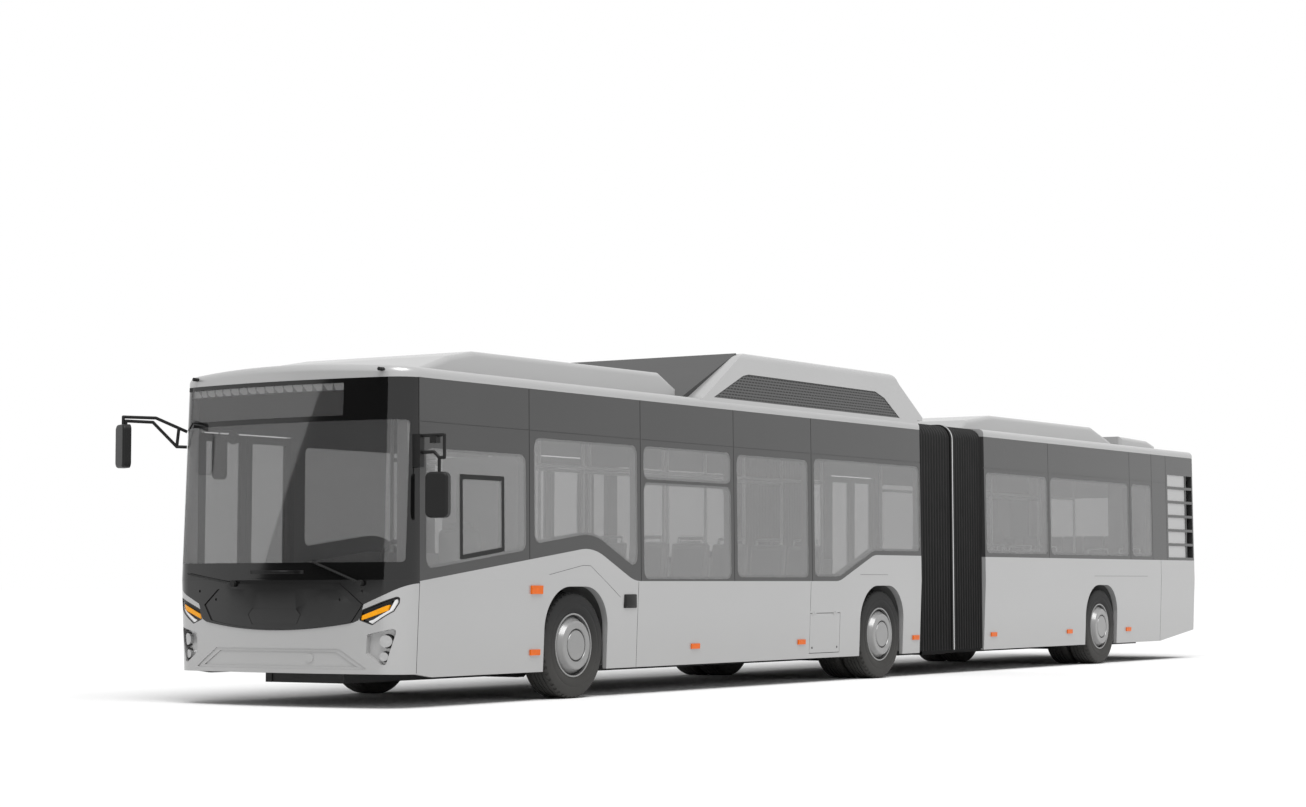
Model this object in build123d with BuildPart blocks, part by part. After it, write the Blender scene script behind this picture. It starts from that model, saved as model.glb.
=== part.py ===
"""Articulated city bus with a gas-tank cowl on the front section's roof.

Millimetres. +X runs forward, +Y to the bus's left, +Z up. The origin is on the ground, midway along the
bus on its centre plane. Each piece is one node; pieces of one kind on one body share a node.
"""

import os
from math import cos, radians, sin

from build123d import *

os.makedirs("parts", exist_ok=True)

# ---------------------------------------------------------------- driving dimensions
HALF = 1275            # half width over the side panels, at the knee
SKIRT_Z = 252          # lower edge of the side panels
KNEE_Z = 1060          # height at which the side panels are widest
RAIL_Z = 2736          # lower edge of the roof
ROOF_Z = 2874          # crown of the roof
TUCK = 35              # how far the skirt's edge stands in from the knee
LEAN = 13              # how far the roof's edge stands in from the knee
INNER = 1200           # half width between the walls
FLOOR_Z = 340          # walking height
FLOOR_T = 60
CEILING_Z = RAIL_Z     # the roof's lining

FRONT_AXLE_X = 6000
MIDDLE_AXLE_X = FRONT_AXLE_X - 5840
REAR_AXLE_X = MIDDLE_AXLE_X - 5966
NOSE_X = FRONT_AXLE_X + 2655      # foremost point of the body, at the knee
PILLAR_X = FRONT_AXLE_X + 2304    # seam between nose and side panels
FRONT_END_X = -750                # rear end of the front section
PIVOT_X = -1600
REAR_START_X = -2390              # front end of the rear section
REAR_PILLAR_X = -8970             # seam between the rear section's sides and its rear end
TAIL_X = -9095

NOSE_BOW = 150         # how far the nose falls back from the centre to the side
NOSE_CORNER_R = 260
NOSE_RAKE = 60         # how far the screen leans back between knee and roof
NOSE_WALL = 65         # nose wall under the screen's top edge
TAIL_BOW = 30
TAIL_CORNER_R = 110
TAIL_WALL = 60

AXLE_Z = 475
TYRE_R = 475
TYRE_WIDTH = 276
BEAD_R = 286
TYRE_FACE_Y = 1234     # outer sidewall of each outer tyre
TWIN_SPACING = 306
ARCH_HALF = 500        # half length of a wheel arch in the side panels
ARCH_TOP_Z = 1000
BOX_T = 20             # sheet of the wheel boxes

GLASS_T = 8
HEADER_Z = 2370        # seam above the side panes
PANE_GAP = 8
WINDOW_R = 60
LAP = 22               # how far a pane laps its opening's rim
SEAT_GAP = 0.3         # between a fitted piece and the painted wall it stands on

WHEEL_Y = TYRE_FACE_Y - TYRE_WIDTH / 2

# ---------------------------------------------------------------- shared forms
# Levels of the body's outer form: height, how far the ends and the sides stand in from the knee
LEVELS = [(SKIRT_Z, 5, TUCK), (KNEE_Z, 0, 0), (RAIL_Z, NOSE_RAKE, LEAN)]


def end_plan(z, tip_x, base_x, half, bow, corner_r):
    """Plan of one end of the body: bowed tip, rounded corners, straight sides back to base_x."""
    side_x = tip_x - bow if tip_x > base_x else tip_x + bow
    with BuildSketch(Plane.XY.offset(z)) as plan:
        with BuildLine():
            Polyline((side_x, half), (base_x, half), (base_x, -half), (side_x, -half))
            ThreePointArc((side_x, -half), (tip_x, 0), (side_x, half))
        make_face()
        corners = plan.vertices().filter_by_position(Axis.X, side_x - 1, side_x + 1)
        fillet(corners, corner_r)
    return plan.sketch


def nose_form(inset, rear_x=PILLAR_X - 100):
    """The nose's outer form, drawn in by inset."""
    plans = [
        end_plan(z, NOSE_X - rake - inset, rear_x, HALF - side - inset, NOSE_BOW, NOSE_CORNER_R - inset)
        for z, rake, side in LEVELS
    ]
    with BuildPart() as form:
        loft(plans, ruled=True)
    return form.part


def tail_form(inset):
    """The tail's outer form, drawn in by inset."""
    plans = [
        end_plan(z, TAIL_X + inset, REAR_PILLAR_X + 200, HALF - side - inset, TAIL_BOW, TAIL_CORNER_R - inset)
        for z, _, side in LEVELS
    ]
    with BuildPart() as form:
        loft(plans, ruled=True)
    return form.part


def nose_core(z_low, z_high, rear_x):
    """The cabin's inner form at the nose, between two heights."""
    tip_x = NOSE_X - NOSE_RAKE - NOSE_WALL
    with BuildPart() as core:
        add(end_plan(z_low, tip_x, rear_x, INNER, NOSE_BOW, NOSE_CORNER_R - NOSE_WALL))
        extrude(amount=z_high - z_low)
    return core.part


def tail_core(z_low, z_high, front_x):
    """The cabin's inner form at the tail, between two heights."""
    with BuildPart() as core:
        add(end_plan(z_low, TAIL_X + TAIL_WALL, front_x, INNER, TAIL_BOW, TAIL_CORNER_R - TAIL_WALL))
        extrude(amount=z_high - z_low)
    return core.part


def skin(form, depth):
    """The outermost layer of the nose or tail, depth thick."""
    with BuildPart() as layer:
        add(form(0))
        add(form(depth), mode=Mode.SUBTRACT)
    return layer.part


def outer_y(z):
    """Half width of the side panels' outer face at height z."""
    if z < KNEE_Z:
        return HALF - TUCK * (KNEE_Z - z) / (KNEE_Z - SKIRT_Z)
    return HALF - LEAN * (z - KNEE_Z) / (RAIL_Z - KNEE_Z)


def wall(x_rear, x_front, side, inner_y=INNER):
    """One side wall: outer faces with their knee, flat inner face. side is 1 on the left, -1 on the right."""
    with BuildPart() as form:
        with BuildSketch(Plane.YZ.offset(x_rear)):
            Polygon(
                (side * inner_y, SKIRT_Z),
                (side * (HALF - TUCK), SKIRT_Z),
                (side * HALF, KNEE_Z),
                (side * (HALF - LEAN), RAIL_Z),
                (side * inner_y, RAIL_Z),
                align=None,
            )
        extrude(amount=x_front - x_rear)
    return form.part


def glass_layer(x_rear, x_front, side):
    """The outer glass-thick layer of one side wall, from the knee's height down to the belt and up."""
    with BuildPart() as form:
        with BuildSketch(Plane.YZ.offset(x_rear)):
            Polygon(
                (side * (outer_y(KNEE_Z) - GLASS_T), KNEE_Z - 100),
                (side * outer_y(KNEE_Z - 100), KNEE_Z - 100),
                (side * HALF, KNEE_Z),
                (side * (HALF - LEAN), RAIL_Z),
                (side * (HALF - LEAN - GLASS_T), RAIL_Z),
                align=None,
            )
        extrude(amount=x_front - x_rear)
    return form.part


# Belt lines: the height where painted panels meet glazing. Points are x, z; radii round the bends.
FRONT_BELT = [(8304, 1048), (5758, 1356), (5074, 1048), (1139, 1048), (359, 1329), (FRONT_END_X, 1329)]
FRONT_BELT_R = [700, 500, 450, 400]
REAR_BELT_Z = 1330


def above_belt(lift, x_rear, x_front, top_z):
    """Sketch outline of what lies above the front section's belt line, lifted by lift."""
    with BuildSketch(Plane.XZ) as region:
        with BuildLine():
            points = [(x, z + lift) for x, z in FRONT_BELT]
            FilletPolyline(*points, radius=FRONT_BELT_R)
            Polyline(points[-1], (FRONT_END_X, RAIL_Z + 300), (PILLAR_X, RAIL_Z + 300), points[0])
        make_face()
        with Locations(((x_rear + x_front) / 2, top_z / 2)):
            Rectangle(x_front - x_rear, top_z, mode=Mode.INTERSECT)
    return region.sketch


def above_rear_belt(lift, x_rear, x_front, top_z):
    """Sketch outline of what lies above the rear section's level belt line."""
    low_z = REAR_BELT_Z + lift
    with BuildSketch(Plane.XZ) as region:
        with Locations(((x_rear + x_front) / 2, (low_z + top_z) / 2)):
            Rectangle(x_front - x_rear, top_z - low_z)
    return region.sketch


def arch_outline(axle_x, half_length, top_z, corner_r):
    """Wheel arch: straight sides and rounded shoulders, open below."""
    low_z = SKIRT_Z - 50
    with BuildSketch(Plane.XZ) as outline:
        with Locations((axle_x, (low_z + top_z) / 2)):
            Rectangle(2 * half_length, top_z - low_z)
        fillet(outline.vertices().group_by(Axis.Y)[-1], corner_r)
    return outline.sketch


# Side windows: rear x, front x, lift above the belt, lowest height, upper edge
HOPPER_Z = (1950, 2023)       # bar between a lower pane and its hopper
FRONT_LEFT_WINDOWS = [
    (6822, 8196, 110, 0, 2130),
    (5045, 6651, 150, 0, 2285),
    (3360, 4890, 42, 0, HOPPER_Z[0]),
    (3360, 4890, 42, HOPPER_Z[1], 2288),
    (1820, 3198, 60, 0, 2276),
    (-695, 1645, 70, 0, 2300),
]
FRONT_RIGHT_WINDOWS = [
    (5045, 6851, 150, 0, 2285),
    (3660, 4890, 60, 0, HOPPER_Z[0]),
    (3660, 4890, 60, HOPPER_Z[1], 2288),
    (1820, 2098, 60, 0, 2276),
    (-695, 1645, 70, 0, 2300),
]
REAR_LEFT_WINDOWS = [
    (-4120, -2455, 68, 0, 2298),
    (-6665, -4265, 68, 0, 2296),
    (-7455, -6830, 68, 0, 2295),
]
REAR_RIGHT_WINDOWS = [
    (-3010, -2455, 68, 0, 2298),
    (-6665, -4500, 68, 0, 2296),
    (-7455, -6830, 68, 0, 2295),
]
SLIDER = (7120, 7755, 110, 0, 1950)      # sliding pane's frame inside the driver's window
SLIDER_FRAME = 42
# Seams between panes, front to rear
FRONT_LEFT_SEAMS = [PILLAR_X, 6745, 4963, 3280, 1720, FRONT_END_X]
FRONT_RIGHT_SEAMS = [PILLAR_X, 6930, 4963, 3580, 2170, 1720, FRONT_END_X]
REAR_LEFT_SEAMS = [REAR_START_X, -4190, -6745, -7500, -8000, REAR_PILLAR_X]
REAR_RIGHT_SEAMS = [REAR_START_X, -3090, -4420, -6745, -7500, -8000, REAR_PILLAR_X]

# Doorways on the right side: rear x, front x
DOORWAYS = {"front": (7000, 8240), "middle": (2240, 3500), "rear": (-4340, -3160)}
DOOR_SILL_Z = FLOOR_Z
DOOR_HEAD_Z = HEADER_Z


def cut_doorway(x_rear, x_front):
    """Opens one doorway through the right wall of the part being built."""
    with Locations(((x_rear + x_front) / 2, -HALF, (DOOR_SILL_Z + DOOR_HEAD_Z) / 2)):
        Box(x_front - x_rear, 2 * (HALF - INNER) + 200, DOOR_HEAD_Z - DOOR_SILL_Z, mode=Mode.SUBTRACT)


def extrude_side(sketch, side, mode):
    """Extrudes an elevation drawn on Plane.XZ through one side wall."""
    extrude(sketch.moved(Location((0, side * (INNER - 60), 0))), amount=-side * 300, mode=mode)


def window_outline(above, window, grow=0):
    """One window's outline grown by grow: follows the belt below, rounded at its four corners."""
    x_rear, x_front, lift, low_z, top_z = window
    with BuildSketch(Plane.XZ) as outline:
        add(above(lift - grow, x_rear - grow, x_front + grow, top_z + grow))
        if low_z:
            with Locations(((x_rear + x_front) / 2, (low_z - grow) / 2)):
                Rectangle(x_front - x_rear + 4 * LAP, low_z - grow, mode=Mode.SUBTRACT)
        ends = outline.vertices().filter_by_position(Axis.X, x_rear - grow - 1, x_rear - grow + 1)
        ends += outline.vertices().filter_by_position(Axis.X, x_front + grow - 1, x_front + grow + 1)
        fillet(ends, WINDOW_R + grow)
    return outline.sketch


def window_outlines(above, windows, grow=0):
    """The outlines of several windows as one sketch."""
    with BuildSketch(Plane.XZ) as outlines:
        add([window_outline(above, window, grow) for window in windows])
    return outlines.sketch


def side_panes(above, windows, side):
    """The panes of one side: glass over each opening with a lap all round, flush with the wall."""
    with BuildPart() as glass:
        add(glass_layer(min(w[0] for w in windows) - LAP, max(w[1] for w in windows) + LAP, side))
        extrude_side(window_outlines(above, windows, LAP), side, Mode.INTERSECT)
    return glass.part


def window_frames(x_rear, x_front, above, windows, seams, side, doors):
    """The wall above the belt on one side: windows rebated for glass, grooves between bays, doorways."""
    with BuildPart() as frames:
        add(wall(x_rear, x_front, side))
        extrude_side(above(0, x_rear, x_front, RAIL_Z + 10), side, Mode.INTERSECT)
        grooves = [glass_layer(x - PANE_GAP / 2, x + PANE_GAP / 2, side) for x in seams[1:-1]]
        grooves += [header_groove(x_rear, x_front, side), side_panes(above, windows, side)]
        add(grooves, mode=Mode.SUBTRACT)
        extrude_side(window_outlines(above, windows), side, Mode.SUBTRACT)
        for name in doors:
            cut_doorway(*DOORWAYS[name])
    return frames.part


def header_groove(x_rear, x_front, side):
    """The groove along the header above the side windows."""
    return glass_layer(x_rear, x_front, side) & block(
        x_rear - 10, x_front + 10, -2 * HALF, 2 * HALF, HEADER_Z - PANE_GAP / 2, HEADER_Z + PANE_GAP / 2
    )


def block(x0, x1, y0, y1, z0, z1):
    """A box between two corners, made outside any piece."""
    return Location(((x0 + x1) / 2, (y0 + y1) / 2, (z0 + z1) / 2)) * Box(x1 - x0, y1 - y0, z1 - z0, mode=Mode.PRIVATE)


def rod(start, end, radius):
    """A round bar between two points."""
    run = Vector(*end) - Vector(*start)
    with BuildPart() as bar:
        with BuildSketch(Plane(origin=start, z_dir=run)):
            Circle(radius)
        extrude(amount=run.length)
    return bar.part


def finish(part, name):
    """Labels one finished piece and writes its file."""
    part.label = name
    export_step(part, f"parts/{name}.step")


# ---------------------------------------------------------------- front section: sides
CHIN = [(8090, SKIRT_Z), (8306, 282), (NOSE_X + 50, 287), (NOSE_X + 50, SKIRT_Z - 60), (8090, SKIRT_Z - 60)]
with BuildPart() as chin:      # what is cut away below the nose's rising lower edge
    with BuildSketch(Plane.XZ.offset(-HALF - 100)):
        Polygon(*CHIN, align=None)
    extrude(amount=2 * HALF + 200)

FLAP_X = (1110, 1742)   # service flap, rear and front edge
FLAP_Z = (307, 713)
FLAP_GAP = 6
FLAP_T = 30


def flap_box(gap):
    """A box over the service flap, grown by gap all round."""
    (x0, x1), (z0, z1) = FLAP_X, FLAP_Z
    return block(x0 - gap, x1 + gap, HALF - 200, HALF + 200, z0 - gap, z1 + gap)


FLAP_AXIS = (outer_y(FLAP_Z[1]) + 4, FLAP_Z[1] + FLAP_GAP / 2)      # hinge line's y, z
FLAP_HINGE_X = (1180, 1630)          # rear end of each hinge's fixed half
KNUCKLE_LENGTH = 40
KNUCKLE_R = 4
HINGE_GAP = 0.3


def flap_hinges(start, low_z, high_z):
    """Hinge halves for the service flap: barrels on the hinge line with a leaf from low_z to high_z."""
    y, z = FLAP_AXIS
    with BuildPart() as halves:
        for hinge_x in FLAP_HINGE_X:
            x0 = hinge_x + start
            x1 = x0 + KNUCKLE_LENGTH
            add(rod((x0, y, z), (x1, y, z), KNUCKLE_R))
            add(block(x0, x1, y - 12, y, low_z, high_z))
    return halves.part


with BuildPart() as front_side_panels:
    for side in (1, -1):
        add(wall(FRONT_END_X, PILLAR_X, side))
        extrude_side(above_belt(0, FRONT_END_X, PILLAR_X, RAIL_Z + 10), side, Mode.SUBTRACT)
        for axle_x in (FRONT_AXLE_X, MIDDLE_AXLE_X):
            extrude_side(arch_outline(axle_x, ARCH_HALF, ARCH_TOP_Z, 380), side, Mode.SUBTRACT)
    for name in ("front", "middle"):
        cut_doorway(*DOORWAYS[name])
    add(flap_box(FLAP_GAP), mode=Mode.SUBTRACT)
    add(chin.part, mode=Mode.SUBTRACT)
    add(flap_hinges(0, FLAP_AXIS[1], FLAP_AXIS[1] + 20))
finish(front_side_panels.part, "front_side_panels")

with BuildPart() as service_flap:
    add(wall(FLAP_X[0], FLAP_X[1], 1, INNER + 15))
    add(flap_box(0), mode=Mode.INTERSECT)
    add(flap_hinges(KNUCKLE_LENGTH + HINGE_GAP, FLAP_AXIS[1] - 20, FLAP_AXIS[1]))
finish(service_flap.part, "service_flap")

with BuildPart() as slider:      # frame of the sliding pane, standing in the driver's window
    add(wall(SLIDER[0] - 10, SLIDER[1] + 10, 1, INNER + 30))
    extrude_side(window_outline(above_belt, SLIDER), 1, Mode.INTERSECT)
    x_rear, x_front, lift, low_z, top_z = SLIDER
    inner = (x_rear + SLIDER_FRAME, x_front - SLIDER_FRAME, lift + SLIDER_FRAME, low_z, top_z - SLIDER_FRAME)
    extrude_side(window_outline(above_belt, inner), 1, Mode.SUBTRACT)
    add(glass_layer(SLIDER[0] - 20, SLIDER[1] + 20, 1), mode=Mode.SUBTRACT)

with BuildPart() as front_window_frames:
    span = (FRONT_END_X, PILLAR_X, above_belt)
    add(window_frames(*span, FRONT_LEFT_WINDOWS, FRONT_LEFT_SEAMS, 1, ()))
    add(window_frames(*span, FRONT_RIGHT_WINDOWS, FRONT_RIGHT_SEAMS, -1, ("front", "middle")))
    add(slider.part)
finish(front_window_frames.part, "front_window_frames")

with BuildPart() as front_windows:
    add(side_panes(above_belt, FRONT_LEFT_WINDOWS, 1))
    add(side_panes(above_belt, FRONT_RIGHT_WINDOWS, -1))
finish(front_windows.part, "front_windows")

# ---------------------------------------------------------------- nose
SILL_SEAM_Z = 1074      # lower edge of the windscreen
SCREEN_OPEN_Z = (1190, 2640)
PILLAR_WIDTH = 90
MASK_T = 20
BUMPER_T = 40
LAMP_DEPTH = 70


def nose_slab(outline, depth, proud=0):
    """The layer from depth below to proud above the nose's surface, behind an outline on Plane.YZ."""
    with BuildPart() as slab:
        add(nose_form(-proud))
        add(nose_form(depth), mode=Mode.SUBTRACT)
        extrude(outline.moved(Location((PILLAR_X, 0, 0))), amount=600, mode=Mode.INTERSECT)
        add(chin.part, mode=Mode.SUBTRACT)
    return slab.part


def both_sides(points):
    """Points y, z down the left side, then back up the right."""
    return points + [(-y, z) for y, z in reversed(points)]


def dipped(points):
    """Outline through its left corners, mirrored; parallel to the mask's lower arc between the last pair."""
    y, z = points[-1]
    with BuildSketch(Plane.YZ) as outline:
        with BuildLine():
            Polyline(*points)
            Polyline(*[(-y, z) for y, z in points])
            ThreePointArc((y, z), (0, MASK_DIP_Z + z - ARC_END[1]), (-y, z))
            Line(points[0], (-points[0][0], points[0][1]))
        make_face()
    return outline.sketch


def paired(corners, corner_r):
    """An outline drawn on the left with rounded corners, and its mirror image."""
    with BuildSketch(Plane.YZ) as outlines:
        Polygon(*corners, align=None)
        fillet(outlines.vertices(), corner_r)
        mirror(about=Plane.YZ)
    return outlines.sketch


def oblong(y_right, y_left, low_z, high_z, corner_r):
    """A rounded rectangle in front elevation."""
    with BuildSketch(Plane.YZ) as outline:
        with Locations(((y_right + y_left) / 2, (low_z + high_z) / 2)):
            RectangleRounded(y_left - y_right, high_z - low_z, corner_r)
    return outline.sketch


# Front elevation outlines, left half, as y, z
MASK_DIP_Z = 640        # middle of the mask's lower edge
ARC_END = (805, 706)    # corner where mask, bumper and nose meet
LAMP_INNER = [(892, 815), (858, 728)]       # where headlamp and mask meet
MASK_SIDE = [(HALF + 40, SILL_SEAM_Z), (HALF + 40, 1050), (1235, 1010), (1110, 945), (905, 858)]
MASK_SIDE += [*LAMP_INNER, ARC_END]
BUMPER_SIDE = [(1010, SKIRT_Z - 20), (942, 318), (682, 505), ARC_END]
PANEL_SIDE = [(650, 985), (826, 852), (737, 720)]      # the mask's middle panel, inside its rim
PANEL_RIM_SIDE = [(680, 1030), (898, 856), (790, 711)]
PANEL_RIM_PROUD = 10
FLAP_SIDE = [(238, 821), (285, 771), (243, 695)]       # flap in the middle panel
SEAM = 8                # width and depth of a panel seam
LAMP_CORNERS = [LAMP_INNER[0], (1204, 930), (1198, 868), (1164, 800), (985, 687), LAMP_INNER[1]]
LAMP_RIM = 9            # black rim round each headlamp
LAMP_FLOOR_DEPTH = 24   # the headlamp's floor and its strips' faces, below the nose's surface
LAMP_STRIP_SINK = 8
BROW_STRIP = [(895, 806), (1150, 893), (1140, 868), (890, 782)]
AMBER_STRIP = [(884, 766), (1132, 858), (1112, 806), (876, 726)]
WHITE_STRIP = [(1182, 902), (1188, 868), (1154, 806), (984, 697), (936, 718), (986, 732), (1128, 812), (1166, 894)]
STRIP_R = 6
FOG_POCKET = [(935, 612), (1173, 662), (1169, 612), (1100, 366), (1065, 360), (925, 452)]
FOG_LAMPS = [(1088, 556, 50), (1072, 430, 36)]      # y, z, radius
FOG_POCKET_DEPTH = 45
FOG_LAMP_SINK = 14      # lamp faces below the nose's surface
CLEAR_ZONE = (-1229, 1229, 1205, 2380, 30)      # see-through part of the screen: right, left, low, high, corner
SIGN_WINDOW = (-1100, 665, 2425, 2700, 12)      # the same for the destination display's window
NOZZLES = [(-896, 967), (896, 967), (-682, 897), (682, 897)]
NOZZLE_R = 12
BUMPER_STEPS = [     # outlines and depths of the steps round the plate's place
    ([(672, 492), (931, 331), (900, 322), (-900, 322), (-931, 331), (-672, 492)], 8),
    ([(633, 468), (840, 344), (-840, 344), (-633, 468)], 16),
]
PLATE_PLACE = (-287, 330, 358, 464, 4)
TOW_CAP = (372, 412, 36)        # y, z, radius

clear_zones = oblong(*CLEAR_ZONE) + oblong(*SIGN_WINDOW)
screen_outline = oblong(-HALF - 50, HALF + 50, SILL_SEAM_Z, RAIL_Z, 1)
screen_sheet = nose_slab(screen_outline, GLASS_T)
finish(nose_slab(clear_zones, GLASS_T), "windscreen")
finish(nose_slab(screen_outline - clear_zones, GLASS_T), "screen_border")

mask_sheet = nose_slab(dipped(MASK_SIDE), MASK_T)
panel_rim = nose_slab(dipped(PANEL_RIM_SIDE) - dipped(PANEL_SIDE), 1, PANEL_RIM_PROUD)
with BuildSketch(Plane.YZ) as mask_grooves:
    Polygon(*both_sides(FLAP_SIDE), align=None)
    offset(amount=SEAM / 2)
    Polygon(*both_sides(FLAP_SIDE), align=None, mode=Mode.SUBTRACT)
    with Locations(*NOZZLES):
        Circle(NOZZLE_R)
lamp_outlines = paired(LAMP_CORNERS, 2 * LAMP_RIM)
lamp_boxes = nose_slab(lamp_outlines, LAMP_DEPTH)
strip_outlines = paired(BROW_STRIP, STRIP_R) + paired(AMBER_STRIP, STRIP_R) + paired(WHITE_STRIP, STRIP_R)
strip_outlines = strip_outlines & offset(lamp_outlines, -LAMP_RIM - SEAT_GAP)
strips = nose_slab(strip_outlines, LAMP_FLOOR_DEPTH - SEAT_GAP, -LAMP_STRIP_SINK)

bumper_sheet = nose_slab(dipped(BUMPER_SIDE), BUMPER_T)
with BuildSketch(Plane.YZ) as outer_step:
    Polygon(*BUMPER_STEPS[0][0], align=None)
with BuildSketch(Plane.YZ) as inner_step:
    Polygon(*BUMPER_STEPS[1][0], align=None)
    add(oblong(*PLATE_PLACE), mode=Mode.SUBTRACT)
    with Locations(TOW_CAP[:2]):
        Circle(TOW_CAP[2], mode=Mode.SUBTRACT)
with BuildPart() as front_bumper:
    add(bumper_sheet)
    add(nose_slab(outer_step.sketch, BUMPER_STEPS[0][1]), mode=Mode.SUBTRACT)
    add(nose_slab(inner_step.sketch, BUMPER_STEPS[1][1]), mode=Mode.SUBTRACT)
finish(front_bumper.part, "front_bumper")
fog_pockets = nose_slab(paired(FOG_POCKET, 20), FOG_POCKET_DEPTH)

with BuildPart() as front_end:
    add(nose_form(0))
    add(nose_core(SKIRT_Z - 10, RAIL_Z + 10, PILLAR_X - 200), mode=Mode.SUBTRACT)
    with Locations((PILLAR_X - 500, 0, RAIL_Z / 2)):
        Box(1000, 3 * HALF, 2 * RAIL_Z, mode=Mode.SUBTRACT)
    with Locations((PILLAR_X + PILLAR_WIDTH + 500, 0, sum(SCREEN_OPEN_Z) / 2)):
        Box(1000, 3 * HALF, SCREEN_OPEN_Z[1] - SCREEN_OPEN_Z[0], mode=Mode.SUBTRACT)
    add([screen_sheet, mask_sheet, bumper_sheet, lamp_boxes, fog_pockets, chin.part], mode=Mode.SUBTRACT)
finish(front_end.part, "front_end")

MARKER_X = (6640, 3980, 1920, -640)     # front edges of the side marker lamps
REAR_MARKER_X = (-2640, -4810, -6680)
MARKER_SIZE = (145, 14, 50)
MARKER_Z = 425
TURN_LAMP = (6644, 972)                 # centre of the larger lamp ahead of the front wheel
TURN_LAMP_SIZE = (170, 16, 74)


def side_lamp(lamp, size, side):
    """A lamp lying on a side panel: lamp is the centre's x and z, size its length, thickness and height."""
    (x, z), (length, thickness, height) = lamp, size
    low, high = z - height / 2, z + height / 2
    with BuildPart() as body:
        with BuildSketch(Plane.YZ.offset(x - length / 2)):
            Polygon(
                (side * outer_y(low), low),
                (side * outer_y(high), high),
                (side * (outer_y(high) + thickness), high),
                (side * (outer_y(low) + thickness), low),
                align=None,
            )
        extrude(amount=length)
    return body.part


with BuildPart() as fog_lamps:
    with BuildSketch(Plane.YZ.offset(PILLAR_X)):
        for y, z, r in FOG_LAMPS:
            with Locations((y, z), (-y, z)):
                Circle(r)
    extrude(amount=600)
    add(fog_pockets, mode=Mode.INTERSECT)
    add(nose_form(FOG_LAMP_SINK), mode=Mode.INTERSECT)

side_lamps = [side_lamp(TURN_LAMP, TURN_LAMP_SIZE, side) for side in (1, -1)]
side_lamps += [side_lamp((x, MARKER_Z), MARKER_SIZE, side) for x in MARKER_X for side in (1, -1)]
with BuildPart() as front_lamps:
    add([strips, fog_lamps.part, *side_lamps])
finish(front_lamps.part, "front_lamps")

# ---------------------------------------------------------------- destination display, wipers, mirrors
DISPLAY = (8400, 8500, -1100, 665, 2410, 2700)      # rear, front; right, left; bottom, top


with BuildPart() as destination_display:
    add(block(*DISPLAY))
    add(block(DISPLAY[0] - 40, DISPLAY[0], -900, 500, DISPLAY[4] + 40, CEILING_Z))
    add(nose_core(SKIRT_Z, CEILING_Z, PILLAR_X - 200), mode=Mode.INTERSECT)
finish(destination_display.part, "destination_display")


def nose_x(y, z):
    """Where the nose's outer face stands at y, z, ahead of its corners."""
    rake = NOSE_RAKE * max(0, z - KNEE_Z) / (RAIL_Z - KNEE_Z)
    return NOSE_X - rake - NOSE_BOW * (y / HALF) ** 2


# Wipers: pivot y, z and tip y, z
WIPERS = [(890, 1033, 430, 1208), (-448, 1030, -1031, 1112)]
WIPER_R = 9
with BuildPart() as wipers:
    for y0, z0, y1, z1 in WIPERS:
        pivot = (nose_x(y0, z0) - MASK_T / 2, y0, z0)
        knuckle = (nose_x(y0, z0) + 22, y0, z0)
        tip = (nose_x(y1, z1) + 22, y1, z1)
        add(rod(pivot, knuckle, 2 * WIPER_R))
        add(rod(knuckle, tip, WIPER_R))
with BuildPart() as wiper_cut:
    for y0, z0, y1, z1 in WIPERS:
        add(rod((nose_x(y0, z0) - MASK_T / 2, y0, z0), (nose_x(y0, z0) + 40, y0, z0), 2 * WIPER_R))
finish(wipers.part, "wipers")
with BuildPart() as front_mask:
    add([mask_sheet, panel_rim, lamp_boxes])
    lamp_floors = nose_slab(offset(lamp_outlines, -LAMP_RIM), LAMP_FLOOR_DEPTH)
    grooves = nose_slab(mask_grooves.sketch, SEAM)
    add([lamp_floors, grooves, wiper_cut.part], mode=Mode.SUBTRACT)
finish(front_mask.part, "front_mask")

MIRROR_HEIGHT = 378
MIRROR_CORNER_R = 50
MIRROR_EDGE_R = 22
# Heads: centre, width, thickness, degrees turned about the vertical
LEFT_HEAD = ((8330, 1476, 1755), 200, 80, 18)
RIGHT_HEAD = ((8893, -1516, 2220), 215, 75, -27)
CABIN_HEAD = ((8345, -905, 2125), 165, 50, -10)
ARM_R = 14
CABIN_ARM_R = 7
LEFT_BASE = (PILLAR_X + 2, PILLAR_X + 62, HALF - 60, 1318, 1986, 2259)
LEFT_ARMS = [
    [(8330, 1300, 2246), (8330, 1545, 2246), (8330, 1545, 2060), (8330, 1492, 2060), (8330, 1492, 1930)],
    [(8330, 1300, 2108), (8330, 1440, 2108), (8330, 1492, 2060)],
]
LEFT_CAMERA = (8300, 8360, 1415, 1480, 2180, 2240)
RIGHT_ARMS = [
    [(8390, -1240, 2360), (8625, -1388, 2474), (8893, -1516, 2474), (8893, -1516, 2390)],
    [(8390, -1240, 2226), (8452, -1302, 2228), (8649, -1400, 2436), (8872, -1506, 2440), (8872, -1506, 2390)],
    [(8452, -1279, 2390), (8452, -1302, 2228)],
]
CABIN_ARMS = [
    [(8330, -1060, CEILING_Z - SEAT_GAP), (8330, -1060, 2368), (8345, -905, 2355), (8345, -905, 2290)],
    [(8345, -905, 2355), (8380, -709, 2350), (8380, -709, 2300)],
]
CABIN_DISC = (8392, -709, 2292, 57)      # x of its face, y, z, radius


def pipe(points, r):
    """A round tube along points, with a ball at each bend."""
    with BuildPart() as tube:
        for start, end in zip(points, points[1:]):
            add(rod(start, end, r))
            if end != points[-1]:
                with Locations(end):
                    Sphere(r)
    return tube.part


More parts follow.
